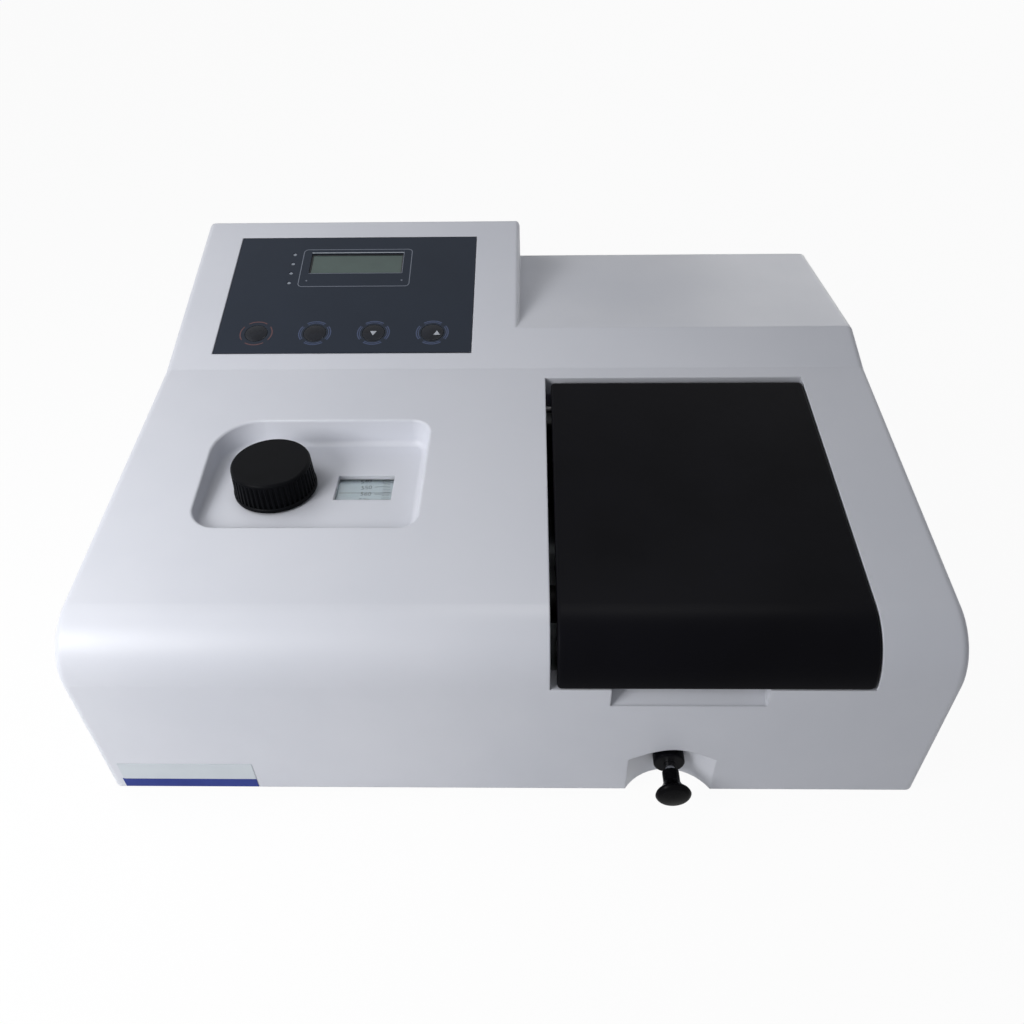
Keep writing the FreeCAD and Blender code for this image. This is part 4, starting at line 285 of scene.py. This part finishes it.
class FinishShop:
    """Makes each finish once and hands it out again when it is asked for."""

    def __init__(self) -> None:
        """Start with no material made."""
        self.made: dict[str, bpy.types.Material] = {}

    def get(self, finish: Finish, axis: Optional[Vector] = None) -> bpy.types.Material:
        """Find or make the material of a finish.

        Args:
            finish: The finish wanted.
            axis: A point on the upright axis that turned rings run round, in metres.

        Returns:
            The Blender material.
        """
        name = finish.name if axis is None else f"{finish.name}_{len(self.made)}"
        if name not in self.made:
            self.made[name] = self._make(name, finish, axis)
        return self.made[name]

    def _make(self, name: str, finish: Finish, axis: Optional[Vector]) -> bpy.types.Material:
        """Build the node tree of one finish.

        Args:
            name: The material's name.
            finish: The finish wanted.
            axis: A point on the upright axis of turned rings, or None.

        Returns:
            The Blender material.
        """
        material = bpy.data.materials.new(name)
        material.use_nodes = True
        tree = material.node_tree
        tree.nodes.clear()
        place = add(tree, "ShaderNodeTexCoord").outputs["Object"]
        bump = self._relief(tree, finish, place, axis)
        cloud = add(tree, "ShaderNodeTexNoise",
                    {"Scale": 1000 / finish.mottle_size, "Detail": 4.0, "Roughness": 0.55},
                    {"Vector": place})
        share = add(tree, "ShaderNodeMapRange",
                    {"From Min": 0.35, "From Max": 0.68, "To Min": 0.0, "To Max": finish.mottle},
                    {"Value": cloud.outputs["Fac"]})
        base = add(tree, "ShaderNodeMix",
                   {"data_type": "RGBA", 6: linear(finish.colour), 7: linear(finish.second)},
                   {0: share.outputs["Result"]})
        colour = self._dust(tree, finish, base.outputs[2])
        matt = add(tree, "ShaderNodeMapRange",
                   {"From Min": 0.3, "From Max": 0.7,
                    "To Min": max(finish.roughness - finish.spread, 0.02),
                    "To Max": finish.roughness + finish.spread},
                   {"Value": cloud.outputs["Fac"]})
        shader = add(tree, "ShaderNodeBsdfPrincipled", {"Metallic": finish.metallic},
                     {"Base Color": colour, "Roughness": matt.outputs["Result"],
                      "Normal": bump})
        if finish.metallic < 0.9:
            shader.inputs["IOR"].default_value = finish.ior
        if finish.coat:
            shader.inputs["Coat Weight"].default_value = finish.coat
            shader.inputs["Coat Roughness"].default_value = COAT_ROUGHNESS
        if finish.clear:
            shader.inputs["Transmission Weight"].default_value = finish.clear
        add(tree, "ShaderNodeOutputMaterial", None, {"Surface": shader.outputs["BSDF"]})
        return material

    @staticmethod
    def _relief(tree: bpy.types.NodeTree, finish: Finish, place: bpy.types.NodeSocket,
                axis: Optional[Vector]) -> bpy.types.NodeSocket:
        """Add the rounded edges and the fine relief of a surface.

        Args:
            tree: The material's node tree.
            finish: The finish wanted.
            place: The texture coordinate, in metres.
            axis: A point on the upright axis of turned rings, or None.

        Returns:
            The normal that the shader takes.
        """
        rounded = add(tree, "ShaderNodeBevel", {"samples": 6, "Radius": finish.edge * MM})
        scale = 1 / (finish.grain * MM)
        if finish.texture is Texture.SMOOTH:
            return rounded.outputs["Normal"]
        if finish.texture is Texture.BRUSHED:
            run = add(tree, "ShaderNodeMapping", {"Scale": (scale, scale * 0.03, scale * 0.4)},
                      {"Vector": place})
            pattern = add(tree, "ShaderNodeTexNoise", {"Scale": 1.0, "Detail": 2.0},
                          {"Vector": run.outputs["Vector"]}).outputs["Fac"]
        elif finish.texture is Texture.TURNED:
            centre = axis or Vector((0, 0, 0))
            moved = add(tree, "ShaderNodeVectorMath",
                        {"operation": "SUBTRACT", 1: tuple(centre)}, {0: place})
            pattern = add(tree, "ShaderNodeTexWave",
                          {"wave_type": "RINGS", "rings_direction": "Z", "Scale": scale / 3,
                           "Distortion": 0.6, "Detail": 2.0},
                          {"Vector": moved.outputs["Vector"]}).outputs["Fac"]
        elif finish.texture is Texture.CAST:
            pattern = add(tree, "ShaderNodeTexVoronoi", {"Scale": scale},
                          {"Vector": place}).outputs["Distance"]
        else:
            pattern = add(tree, "ShaderNodeTexNoise",
                          {"Scale": scale, "Detail": 3.0, "Roughness": 0.6},
                          {"Vector": place}).outputs["Fac"]
        return add(tree, "ShaderNodeBump",
                   {"Strength": 1.0, "Distance": finish.depth * MM},
                   {"Height": pattern, "Normal": rounded.outputs["Normal"]}).outputs["Normal"]

    @staticmethod
    def _dust(tree: bpy.types.NodeTree, finish: Finish,
              colour: bpy.types.NodeSocket) -> bpy.types.NodeSocket:
        """Darken the corners where ambient occlusion is low: painted shade, tinted as dust.

        Args:
            tree: The material's node tree.
            finish: The finish wanted.
            colour: The clean colour.

        Returns:
            The colour with painted shade, tinted as dust, in its corners.
        """
        if finish.dirt <= 0 or finish.clear:
            return colour
        # Painted shade: ambient occlusion darkens corners and gaps between parts with a
        # dust-tinted colour.
        corner = add(tree, "ShaderNodeAmbientOcclusion",
                     {"samples": 4, "Distance": DUST_AND_SHADE_REACH * MM})
        shade_and_dust_share = add(tree, "ShaderNodeMapRange",
                     {"From Min": 0.35, "From Max": 0.95, "To Min": finish.dirt, "To Max": 0.0},
                     {"Value": corner.outputs["AO"]})
        return add(tree, "ShaderNodeMix",
                   {"data_type": "RGBA", "blend_type": "MULTIPLY", 7: linear(DUST_AND_SHADE_COLOUR)},
                   {0: shade_and_dust_share.outputs["Result"], 6: colour}).outputs[2]


SHOP = FinishShop()


def dress(node: str, finish: Finish, axis: Optional[Vector] = None, angle: float = 35) -> None:
    """Give a CAD node its finish and smooth shading over its curved faces.

    Args:
        node: The CAD node's name.
        finish: The finish that it takes.
        axis: A point on the upright axis that turned rings run round.
        angle: Faces that meet at less than this many degrees shade as one.
    """
    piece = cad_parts[node]
    piece.data.materials.clear()
    piece.data.materials.append(SHOP.get(finish, axis))
    smooth(piece, angle)
    log.info("dressed %s in %s", node, finish.name)


def smooth(piece: bpy.types.Object, angle: float = 35) -> None:
    """Shade faces as one where they meet at less than an angle in degrees."""
    piece.data.shade_smooth()
    piece.data.set_sharp_from_angle(angle=math.radians(angle))


def build(name: str, vertices: Sequence[Vector], faces: Sequence[Sequence[int]],
          finish: Finish, body: str) -> bpy.types.Object:
    """Make a mesh piece that rides on a CAD body.

    Args:
        name: The piece's name.
        vertices: Its vertices in the row frame.
        faces: Its faces as vertex numbers.
        finish: Its finish.
        body: The CAD body that carries it.

    Returns:
        The new object.
    """
    mesh = bpy.data.meshes.new(name)
    mesh.from_pydata([tuple(v) for v in vertices], [], [list(f) for f in faces])
    work = bmesh.new()
    work.from_mesh(mesh)
    bmesh.ops.recalc_face_normals(work, faces=work.faces)
    work.to_mesh(mesh)
    work.free()
    piece = bpy.data.objects.new(name, mesh)
    bpy.context.scene.collection.objects.link(piece)
    mesh.materials.append(SHOP.get(finish))
    smooth(piece)
    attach(piece, body)
    log.info("built %s on %s", name, body)
    return piece


def plates(name: str, outlines: Sequence[Sequence[Point]], low: float, high: float,
           where: Callable[[float, float, float], Vector], finish: Finish,
           body: str) -> bpy.types.Object:
    """Make thin flat plates, such as printed marks, as one piece.

    Args:
        name: The piece's name.
        outlines: Closed convex outlines in the surface's own two directions, in millimetres.
        low: The height of the lower face over the surface.
        high: The height of the upper face.
        where: Turns a place on the surface and a height into the row frame.
        finish: The plates' finish.
        body: The CAD body that carries them.

    Returns:
        The new object.
    """
    vertices: list[Vector] = []
    faces: list[list[int]] = []
    for outline in outlines:
        first, count = len(vertices), len(outline)
        vertices += [where(x, y, low) for x, y in outline]
        vertices += [where(x, y, high) for x, y in outline]
        faces.append([first + i for i in range(count)])
        faces.append([first + count + i for i in reversed(range(count))])
        for i in range(count):
            j = (i + 1) % count
            faces.append([first + i, first + j, first + count + j, first + count + i])
    return build(name, vertices, faces, finish, body)


def bar(start: Point, end: Point, width: float) -> list[Point]:
    """Outline a straight mark between two points.

    Args:
        start: Where it starts, in millimetres.
        end: Where it ends.
        width: Its width.

    Returns:
        Its four corners.
    """
    dx, dy = end[0] - start[0], end[1] - start[1]
    length = math.hypot(dx, dy)
    nx, ny = -dy / length * width / 2, dx / length * width / 2
    return [(start[0] + nx, start[1] + ny), (start[0] - nx, start[1] - ny),
            (end[0] - nx, end[1] - ny), (end[0] + nx, end[1] + ny)]


def arc_marks(centre: Point, radius: float, width: float, first: float, last: float,
              steps: int = 10) -> list[list[Point]]:
    """Short marks that make up a printed arc.

    Args:
        centre: The arc's centre in millimetres.
        radius: Its middle radius.
        width: The line's width.
        first: Its first angle in degrees.
        last: Its last angle in degrees.
        steps: How many straight pieces it has.

    Returns:
        One outline for each piece.
    """
    marks = []
    for i in range(steps):
        a, b = (math.radians(first + (last - first) * k / steps) for k in (i, i + 1))
        inner, outer = radius - width / 2, radius + width / 2
        marks.append([
            (centre[0] + inner * math.cos(a), centre[1] + inner * math.sin(a)),
            (centre[0] + outer * math.cos(a), centre[1] + outer * math.sin(a)),
            (centre[0] + outer * math.cos(b), centre[1] + outer * math.sin(b)),
            (centre[0] + inner * math.cos(b), centre[1] + inner * math.sin(b)),
        ])
    return marks


@dataclass
class Casing:
    """The grey cover, its base plate, feet, screws and the plain strip on its front."""

    strip_left: float = 8.5
    strip_right: float = 84.8
    strip_low: float = 8.2
    strip_high: float = 22.7
    stripe_left: float = 7.7
    stripe_low: float = 0.4
    sheet: float = 0.25
    feet: tuple[str, ...] = ("front_left_foot", "front_right_foot", "rear_left_foot",
                             "rear_right_foot")

    def dress(self) -> None:
        """Give every casing node its finish."""
        dress("top_cover", MOULDED_ABS)
        dress("base_plate", ZINC_STEEL)
        dress("base_screws", ZINC_STEEL)
        for foot in self.feet:
            dress(foot, RUBBER)

    def front(self, x: float, z: float, out: float) -> Vector:
        """A place on the front face, a height out from it."""
        return at(x, -out, z)

    def build(self) -> None:
        """Stick the pale strip and the blue stripe on the front face, both bare."""
        pale = [(self.strip_left, self.strip_low), (self.strip_right, self.strip_low),
                (self.strip_right, self.strip_high), (self.strip_left, self.strip_high)]
        blue = [(self.stripe_left, self.stripe_low), (self.strip_right, self.stripe_low),
                (self.strip_right, self.strip_low), (self.stripe_left, self.strip_low)]
        plates("front_strip_pale", [pale], SUNK, self.sheet, self.front, VINYL_PALE, "housing")
        plates("front_strip_blue", [blue], SUNK, self.sheet, self.front, VINYL_BLUE, "housing")


@dataclass
class Console:
    """The dark film panel with its display, indicator lamps and four keys."""

    key_x: float = 55.5
    key_pitch: float = 40.0
    key_row: float = 33.0
    ring_radius: float = 10.8
    inner_ring: float = 9.5
    line: float = 0.8
    ring_gap: float = 20.0
    thin_line: float = 0.6
    corner: float = 3.0
    dot_inset: float = 5.5
    dot_rise: float = 6.0
    dot_radius: float = 0.7
    dot_sides: int = 10
    mask_out: float = 0.4
    mask_in: float = 1.0
    mask_top: float = 1.5
    mask_low: float = -1.0
    mask_high: float = -0.75
    lip_top: float = 0.9
    lip_top_rise: float = 0.35
    lip_top_reach: float = 0.3
    lip_side: float = 0.45
    lip_side_out: float = 0.2
    arrow_shift: float = 3.2
    arrow_drop: float = 1.0
    arrow_half: float = 2.3
    arrow_base: float = 1.9
    arrow_tip: float = 2.1
    arrow_low: float = 0.86
    arrow_high: float = 0.93
    print_low: float = 0.19
    print_high: float = 0.26
    window: tuple[float, float, float, float] = (83.0, 92.7, 150.0, 114.2)
    outline: tuple[float, float, float, float] = (77.0, 79.0, 156.0, 118.0)
    keys: tuple[str, ...] = ("mode_key", "enter_key", "down_key", "up_key")
    key_bodies: tuple[str, ...] = ("mode_button", "enter_button", "down_button", "up_button")

    def dress(self) -> None:
        """Give every console node its finish."""
        dress("display_panel", PRINTED_FILM)
        dress("lcd_module", CELL_GLASS)
        dress("indicator_leds", LED_EPOXY)
        dress("display_board", BOARD)
        for key in self.keys:
            dress(key, KEY_FILM, angle=60)

    def build(self) -> None:
        """Print the rings, arrows and frame line, and set the display's glass in its frame."""
        red, blue = [], []
        span = 90 - self.ring_gap
        for index in range(len(self.keys)):
            centre = (self.key_x + index * self.key_pitch, self.key_row)
            marks = red if index == 0 else blue
            for quarter in range(4):
                start = 45 + 90 * quarter + self.ring_gap / 2
                marks += arc_marks(centre, self.ring_radius, self.line, start, start + span)
                if index:
                    marks += arc_marks(centre, self.inner_ring, self.thin_line, start,
                                       start + span)
        self.mark("printed_ring_red", red, INK_RED)
        self.mark("printed_rings_blue", blue, INK_BLUE)
        self.mark("printed_frame_line", self.frame_line(), INK_PALE)
        self.arrows()
        self.display()

    def mark(self, name: str, outlines: Sequence[Sequence[Point]], ink: Finish) -> None:
        """Print flat marks on the panel's film."""
        plates(name, outlines, self.print_low, self.print_high, on_console, ink, "housing")

    def frame_line(self) -> list[list[Point]]:
        """Draw the rounded line round the display, with its two dots.

        Returns:
            One outline for each piece of the line and for each dot.
        """
        left, low, right, high = self.outline
        corner = self.corner
        marks = [
            bar((left + corner, low), (right - corner, low), self.thin_line),
            bar((left + corner, high), (right - corner, high), self.thin_line),
            bar((left, low + corner), (left, high - corner), self.thin_line),
            bar((right, low + corner), (right, high - corner), self.thin_line),
        ]
        for x, y, start in ((left, low, 180), (right, low, 270), (right, high, 0),
                            (left, high, 90)):
            centre = (x + corner if x == left else x - corner,
                      y + corner if y == low else y - corner)
            marks += arc_marks(centre, corner, self.thin_line, start, start + 90, 6)
        turns = [2 * math.pi * k / self.dot_sides for k in range(self.dot_sides)]
        for x in (left + self.dot_inset, right - self.dot_inset):
            marks.append([(x + self.dot_radius * math.cos(a),
                           low + self.dot_rise + self.dot_radius * math.sin(a)) for a in turns])
        return marks

    def arrows(self) -> None:
        """Print the down and up marks on their keys."""
        for index, tip in ((2, -1), (3, 1)):
            shift = self.arrow_shift if tip > 0 else 0
            x = self.key_x + index * self.key_pitch + shift
            y = self.key_row - self.arrow_drop
            base = y - self.arrow_base * tip
            mark = [(x - self.arrow_half, base), (x + self.arrow_half, base),
                    (x, y + self.arrow_tip * tip)]
            plates(f"printed_arrow_{index}", [mark], self.arrow_low, self.arrow_high, on_console,
                   INK_WHITE, self.key_bodies[index])

    def display(self) -> None:
        """Set a black mask round the glass below the film, and painted highlights as pale lines
        on the window's rim.
        """
        left, low, right, high = self.window
        out, into = self.mask_out, self.mask_in
        outer = [(left - out, low - out), (right + out, low - out), (right + out, high + out),
                 (left - out, high + out)]
        inner = [(left + into, low + into), (right - into, low + into),
                 (right - into, high - self.mask_top), (left + into, high - self.mask_top)]
        sides = [(i, (i + 1) % 4) for i in range(4)]
        mask = [[outer[i], outer[j], inner[j], inner[i]] for i, j in sides]
        plates("display_mask", mask, self.mask_low, self.mask_high, on_console, FRAME_STEEL,
               "housing")
        # Painted highlight: pale lines on the window's top, bottom and right edges stand for
        # light caught on the bevel.
        rise = high + self.lip_top_rise
        top = [bar((left, rise), (right + self.lip_top_reach, rise), self.lip_top)]
        self.mark("display_painted_highlight_top", top, PAINTED_HIGHLIGHT_EDGE)
        below, beside = low - self.lip_side_out, right + self.lip_side_out
        thin = [bar((left, below), (right, below), self.lip_side),
                bar((beside, below), (beside, high), self.lip_side)]
        self.mark("display_painted_highlight_sides", thin, INK_PALE)


@dataclass
class WavelengthDrive:
    """The black knob and the dial that shows through its window."""

    x: float = 91.7
    y: float = 122.5
    dial_top: float = 117.3
    tick_outer: float = 66.5
    tick_long: float = 9.0
    tick_short: float = 4.5
    tick_wide: float = 0.34
    tick_thin: float = 0.2
    tick_step: int = 2
    number_step: int = 10
    print_height: float = 0.05
    number_rise: float = 0.04
    font_share: float = 1.4
    hair_left: float = 128.0
    hair_right: float = 159.5
    hair_width: float = 0.3
    hair_low: float = 118.2
    hair_high: float = 118.28
    number_radius: float = 52.3
    number_height: float = 3.2
    rest_value: float = 560.0
    degrees_per_unit: float = 0.648
    low_value: int = 330
    high_value: int = 850

    def dress(self) -> None:
        """Give every drive node its finish."""
        axis = at(self.x, self.y, 0)
        dress("wavelength_knob", PHENOLIC, angle=25)
        dress("dial_disc", DIAL_ENAMEL)
        dress("knob_shaft", GROUND_STEEL)
        dress("wavelength_cam", GROUND_STEEL)
        dress("shaft_bush", BRASS, axis)
        dress("dial_window", CLEAR_ACRYLIC)
        dress("follower_arm", GROUND_STEEL)
        dress("follower_roller", BRASS)
        dress("return_spring", GROUND_STEEL)

    def on_dial(self, along: float, across: float, up: float) -> Vector:
        """A place on the dial: out along its three o'clock line, across it, and up."""
        return at(self.x + along, self.y + across, self.dial_top + up)

    def build(self) -> None:
        """Print the dial's ticks and numbers, and the hair line under its window."""
        ticks = []
        for value in range(self.low_value, self.high_value + 1, self.tick_step):
            angle = math.radians((self.rest_value - value) * self.degrees_per_unit)
            numbered = value % self.number_step == 0
            length = self.tick_long if numbered else self.tick_short
            width = self.tick_wide if numbered else self.tick_thin
            cos, sin = math.cos(angle), math.sin(angle)
            near, far = self.tick_outer - length, self.tick_outer
            ticks.append(bar((near * cos, near * sin), (far * cos, far * sin), width))
        plates("dial_ticks", ticks, 0.0, self.print_height, self.on_dial, INK_BLACK,
               "wavelength_drive")
        self.numbers()
        hair = [bar((self.hair_left, self.y), (self.hair_right, self.y), self.hair_width)]
        plates("window_hair_line", hair, self.hair_low, self.hair_high, at, INK_BLACK, "housing")

    def numbers(self) -> None:
        """Print a number at every tenth unit round the dial, as one piece."""
        vertices: list[Vector] = []
        faces: list[list[int]] = []
        curve = bpy.data.curves.new("dial_number", "FONT")
        curve.size = self.number_height * self.font_share
        curve.align_x, curve.align_y = "CENTER", "CENTER"
        writer = bpy.data.objects.new("dial_number", curve)
        bpy.context.scene.collection.objects.link(writer)
        for value in range(self.low_value, self.high_value + 1, self.number_step):
            curve.body = str(value)
            bpy.context.view_layer.update()
            angle = math.radians((self.rest_value - value) * self.degrees_per_unit)
            cos, sin = math.cos(angle), math.sin(angle)
            mesh = writer.evaluated_get(bpy.context.evaluated_depsgraph_get()).to_mesh()
            first = len(vertices)
            for vertex in mesh.vertices:
                out, across = self.number_radius + vertex.co.x, vertex.co.y
                vertices.append(self.on_dial(out * cos - across * sin,
                                             out * sin + across * cos,
                                             self.number_rise))
            faces += [[first + i for i in face.vertices] for face in mesh.polygons]
        bpy.data.objects.remove(writer)
        build("dial_numbers", vertices, faces, INK_BLACK, "wavelength_drive")


@dataclass
class SampleCompartment:
    """The hinged lid, the black tub under it, the cell carriage and its pull rod."""

    black_nodes: tuple[str, ...] = ("sample_chamber", "cell_carriage", "beam_tube",
                                    "detector_housing")

    def dress(self) -> None:
        """Give every node of the compartment its finish."""
        dress("sample_lid", BLACK_ABS)
        for node in self.black_nodes:
            dress(node, ANODISED)
        dress("guide_rods", GROUND_STEEL)
        dress("lid_hinge_pins", FRAME_STEEL)
        dress("pull_rod", PLATED_STEEL)
        dress("pull_knob", ACETAL, angle=50)
        dress("rod_bush", BLACK_ABS)
        dress("lid_seal", FOAM)
        dress("chamber_windows", SILICA)
        dress("photodiode", PLATED_STEEL)
        dress("preamp_board", BOARD)


@dataclass
class RearFittings:
    """The rear panel with its mains inlet and switch."""

    def dress(self) -> None:
        """Give every rear node its finish."""
        dress("rear_panel", POWDER_COAT)
        dress("rear_panel_screws", ZINC_STEEL)
        dress("mains_inlet", NYLON)
        dress("power_switch", NYLON)
        dress("power_rocker", NYLON)


@dataclass
class InnerWorks:
    """The monochromator, light source and boards inside the casing."""

    finishes: dict[str, Finish] = field(default_factory=lambda: {
        "monochromator_case": CAST_ALUMINIUM, "monochromator_lid": CAST_ALUMINIUM,
        "exit_slit": ANODISED, "entrance_slit": ANODISED, "collimating_mirror": MIRROR,
        "focusing_mirror": MIRROR, "grating_table": GROUND_STEEL, "grating": MIRROR,
        "lamp_house": POWDER_COAT, "lamp_holder": CERAMIC, "halogen_lamp": SILICA,
        "condenser_barrel": ANODISED, "condenser_lens": SILICA, "fold_mirror": MIRROR,
        "main_board": BOARD, "transformer": VARNISHED_IRON,
    })

    def dress(self) -> None:
        """Give every inner node its finish."""
        for node, finish in self.finishes.items():
            dress(node, finish)


@dataclass
class Studio:
    """A pale floor and soft lamps, with a white background.

    The strip overhead shows only in gloss: it draws the sheen on the lid's bend.
    """

    floor_size: float = 40.0
    floor_colour: str = "F6F6F6"
    floor_white: float = 0.95
    sky_colour: str = "F1F4FA"
    sky_strength: float = 0.19
    aim: tuple[float, float, float] = (0.0, 0.0, 0.06)
    lamps: tuple[tuple[str, tuple[float, float, float], float, float], ...] = (
        ("front_left_lamp", (-0.49, -0.49, 0.46), 0.3, 2.95),
        ("left_lamp", (-0.56, 0.08, 0.63), 0.3, 0.65),
        ("top_left_lamp", (-0.4, -0.1, 0.72), 0.3, 0.75),
        ("rear_lamp", (1.5, 2.9, 0.6), 1.5, 13.0),
    )
    strip_place: tuple[float, float, float] = (0.14, 0.09, 0.96)
    strip_size: tuple[float, float] = (0.32, 0.05)
    strip_power: float = 2.2

    def build(self) -> None:
        """Lay the floor, light the world and hang the lamps."""
        self.floor()
        self.world()
        for name, place, size, power in self.lamps:
            self.hang(name, place, (size, size), power)
        strip = self.hang("sheen_strip", self.strip_place, self.strip_size, self.strip_power)
        strip.rotation_euler = (0, 0, 0)
        strip.visible_diffuse = False

    def hang(self, name: str, place: tuple[float, float, float], size: tuple[float, float],
             power: float) -> bpy.types.Object:
        """Hang one soft lamp that looks at the object.

        Args:
            name: The lamp's name.
            place: Where it hangs, in metres.
            size: Its length and width in metres.
            power: Its power in watts.

        Returns:
            The lamp's object.
        """
        lamp = bpy.data.lights.new(name, "AREA")
        lamp.shape = "RECTANGLE"
        lamp.size, lamp.size_y = size
        lamp.energy = power
        holder = bpy.data.objects.new(name, lamp)
        bpy.context.scene.collection.objects.link(holder)
        holder.location = place
        ahead = Vector(self.aim) - Vector(place)
        holder.rotation_euler = ahead.to_track_quat("-Z", "Y").to_euler()
        log.info("hung %s", name)
        return holder

    def floor(self) -> None:
        """Lay a pale floor that shows white to the camera and keeps the object's shadow."""
        half = self.floor_size / 2
        mesh = bpy.data.meshes.new("studio_floor")
        mesh.from_pydata([(-half, -half, 0), (half, -half, 0), (half, half, 0),
                          (-half, half, 0)], [], [(0, 1, 2, 3)])
        floor = bpy.data.objects.new("studio_floor", mesh)
        bpy.context.scene.collection.objects.link(floor)
        material = bpy.data.materials.new("painted_board_white")
        material.use_nodes = True
        tree = material.node_tree
        tree.nodes.clear()
        ray = add(tree, "ShaderNodeLightPath").outputs
        seen = add(tree, "ShaderNodeMath", {"operation": "MAXIMUM"},
                   {0: ray["Is Camera Ray"], 1: ray["Is Glossy Ray"]})
        seen = add(tree, "ShaderNodeMath", {"operation": "MAXIMUM"},
                   {0: seen.outputs[0], 1: ray["Is Transmission Ray"]})
        share = add(tree, "ShaderNodeMath", {"operation": "MULTIPLY", 1: self.floor_white},
                    {0: seen.outputs[0]})
        matt = add(tree, "ShaderNodeBsdfDiffuse", {"Color": linear(self.floor_colour)})
        white = add(tree, "ShaderNodeEmission", {"Color": (1, 1, 1, 1), "Strength": 1.0})
        both = add(tree, "ShaderNodeMixShader", None,
                   {0: share.outputs[0], 1: matt.outputs["BSDF"], 2: white.outputs["Emission"]})
        add(tree, "ShaderNodeOutputMaterial", None, {"Surface": both.outputs["Shader"]})
        mesh.materials.append(material)

    def world(self) -> None:
        """Give a soft even sky that shows white to the camera."""
        world = bpy.data.worlds.new("studio_world")
        bpy.context.scene.world = world
        world.use_nodes = True
        tree = world.node_tree
        tree.nodes.clear()
        ray = add(tree, "ShaderNodeLightPath").outputs
        seen = add(tree, "ShaderNodeMath", {"operation": "MAXIMUM"},
                   {0: ray["Is Camera Ray"], 1: ray["Is Glossy Ray"]})
        seen = add(tree, "ShaderNodeMath", {"operation": "MAXIMUM"},
                   {0: seen.outputs[0], 1: ray["Is Transmission Ray"]})
        soft = add(tree, "ShaderNodeBackground",
                   {"Color": linear(self.sky_colour), "Strength": self.sky_strength})
        white = add(tree, "ShaderNodeBackground", {"Color": (1, 1, 1, 1), "Strength": 1.0})
        both = add(tree, "ShaderNodeMixShader", None,
                   {0: seen.outputs[0], 1: soft.outputs["Background"],
                    2: white.outputs["Background"]})
        add(tree, "ShaderNodeOutputWorld", None, {"Surface": both.outputs["Shader"]})


@dataclass
class PhotoCamera:
    """The camera at the photograph's viewing angle."""

    place: tuple[float, float, float] = (241.29, -280.97, 455.65)
    pitch: float = 41.088
    yaw: float = -1.506
    roll: float = -1.055
    lens: float = 31.248
    sensor: float = 36.0
    near: float = 0.01

    def build(self) -> None:
        """Set the camera up and make it the scene's own."""
        pitch, yaw, roll = (math.radians(a) for a in (self.pitch, self.yaw, self.roll))
        ahead = Vector((math.sin(yaw) * math.cos(pitch), math.cos(yaw) * math.cos(pitch),
                        -math.sin(pitch)))
        right = Vector((math.cos(yaw), -math.sin(yaw), 0))
        up = right.cross(ahead)
        right, up = (math.cos(roll) * right + math.sin(roll) * up,
                     math.cos(roll) * up - math.sin(roll) * right)
        turn = Matrix((right, up, -ahead)).transposed().to_4x4()
        data = bpy.data.cameras.new("photo_camera")
        data.sensor_width = self.sensor
        data.lens = self.lens
        data.clip_start = self.near
        camera = bpy.data.objects.new("photo_camera", data)
        bpy.context.scene.collection.objects.link(camera)
        camera.matrix_world = Matrix.Translation(at(*self.place)) @ turn
        bpy.context.scene.camera = camera
        bpy.context.scene.view_settings.view_transform = "Standard"


def main() -> None:
    """Build the whole scene, one sub-assembly after another."""
    logging.basicConfig(level=logging.INFO, format="%(message)s")
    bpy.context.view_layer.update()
    for part in (Casing(), Console(), WavelengthDrive(), SampleCompartment(), RearFittings(),
                 InnerWorks()):
        part.dress()
        if hasattr(part, "build"):
            part.build()
        log.info("finished %s", type(part).__name__)
    Studio().build()
    PhotoCamera().build()


if __name__ == "__main__":
    main()
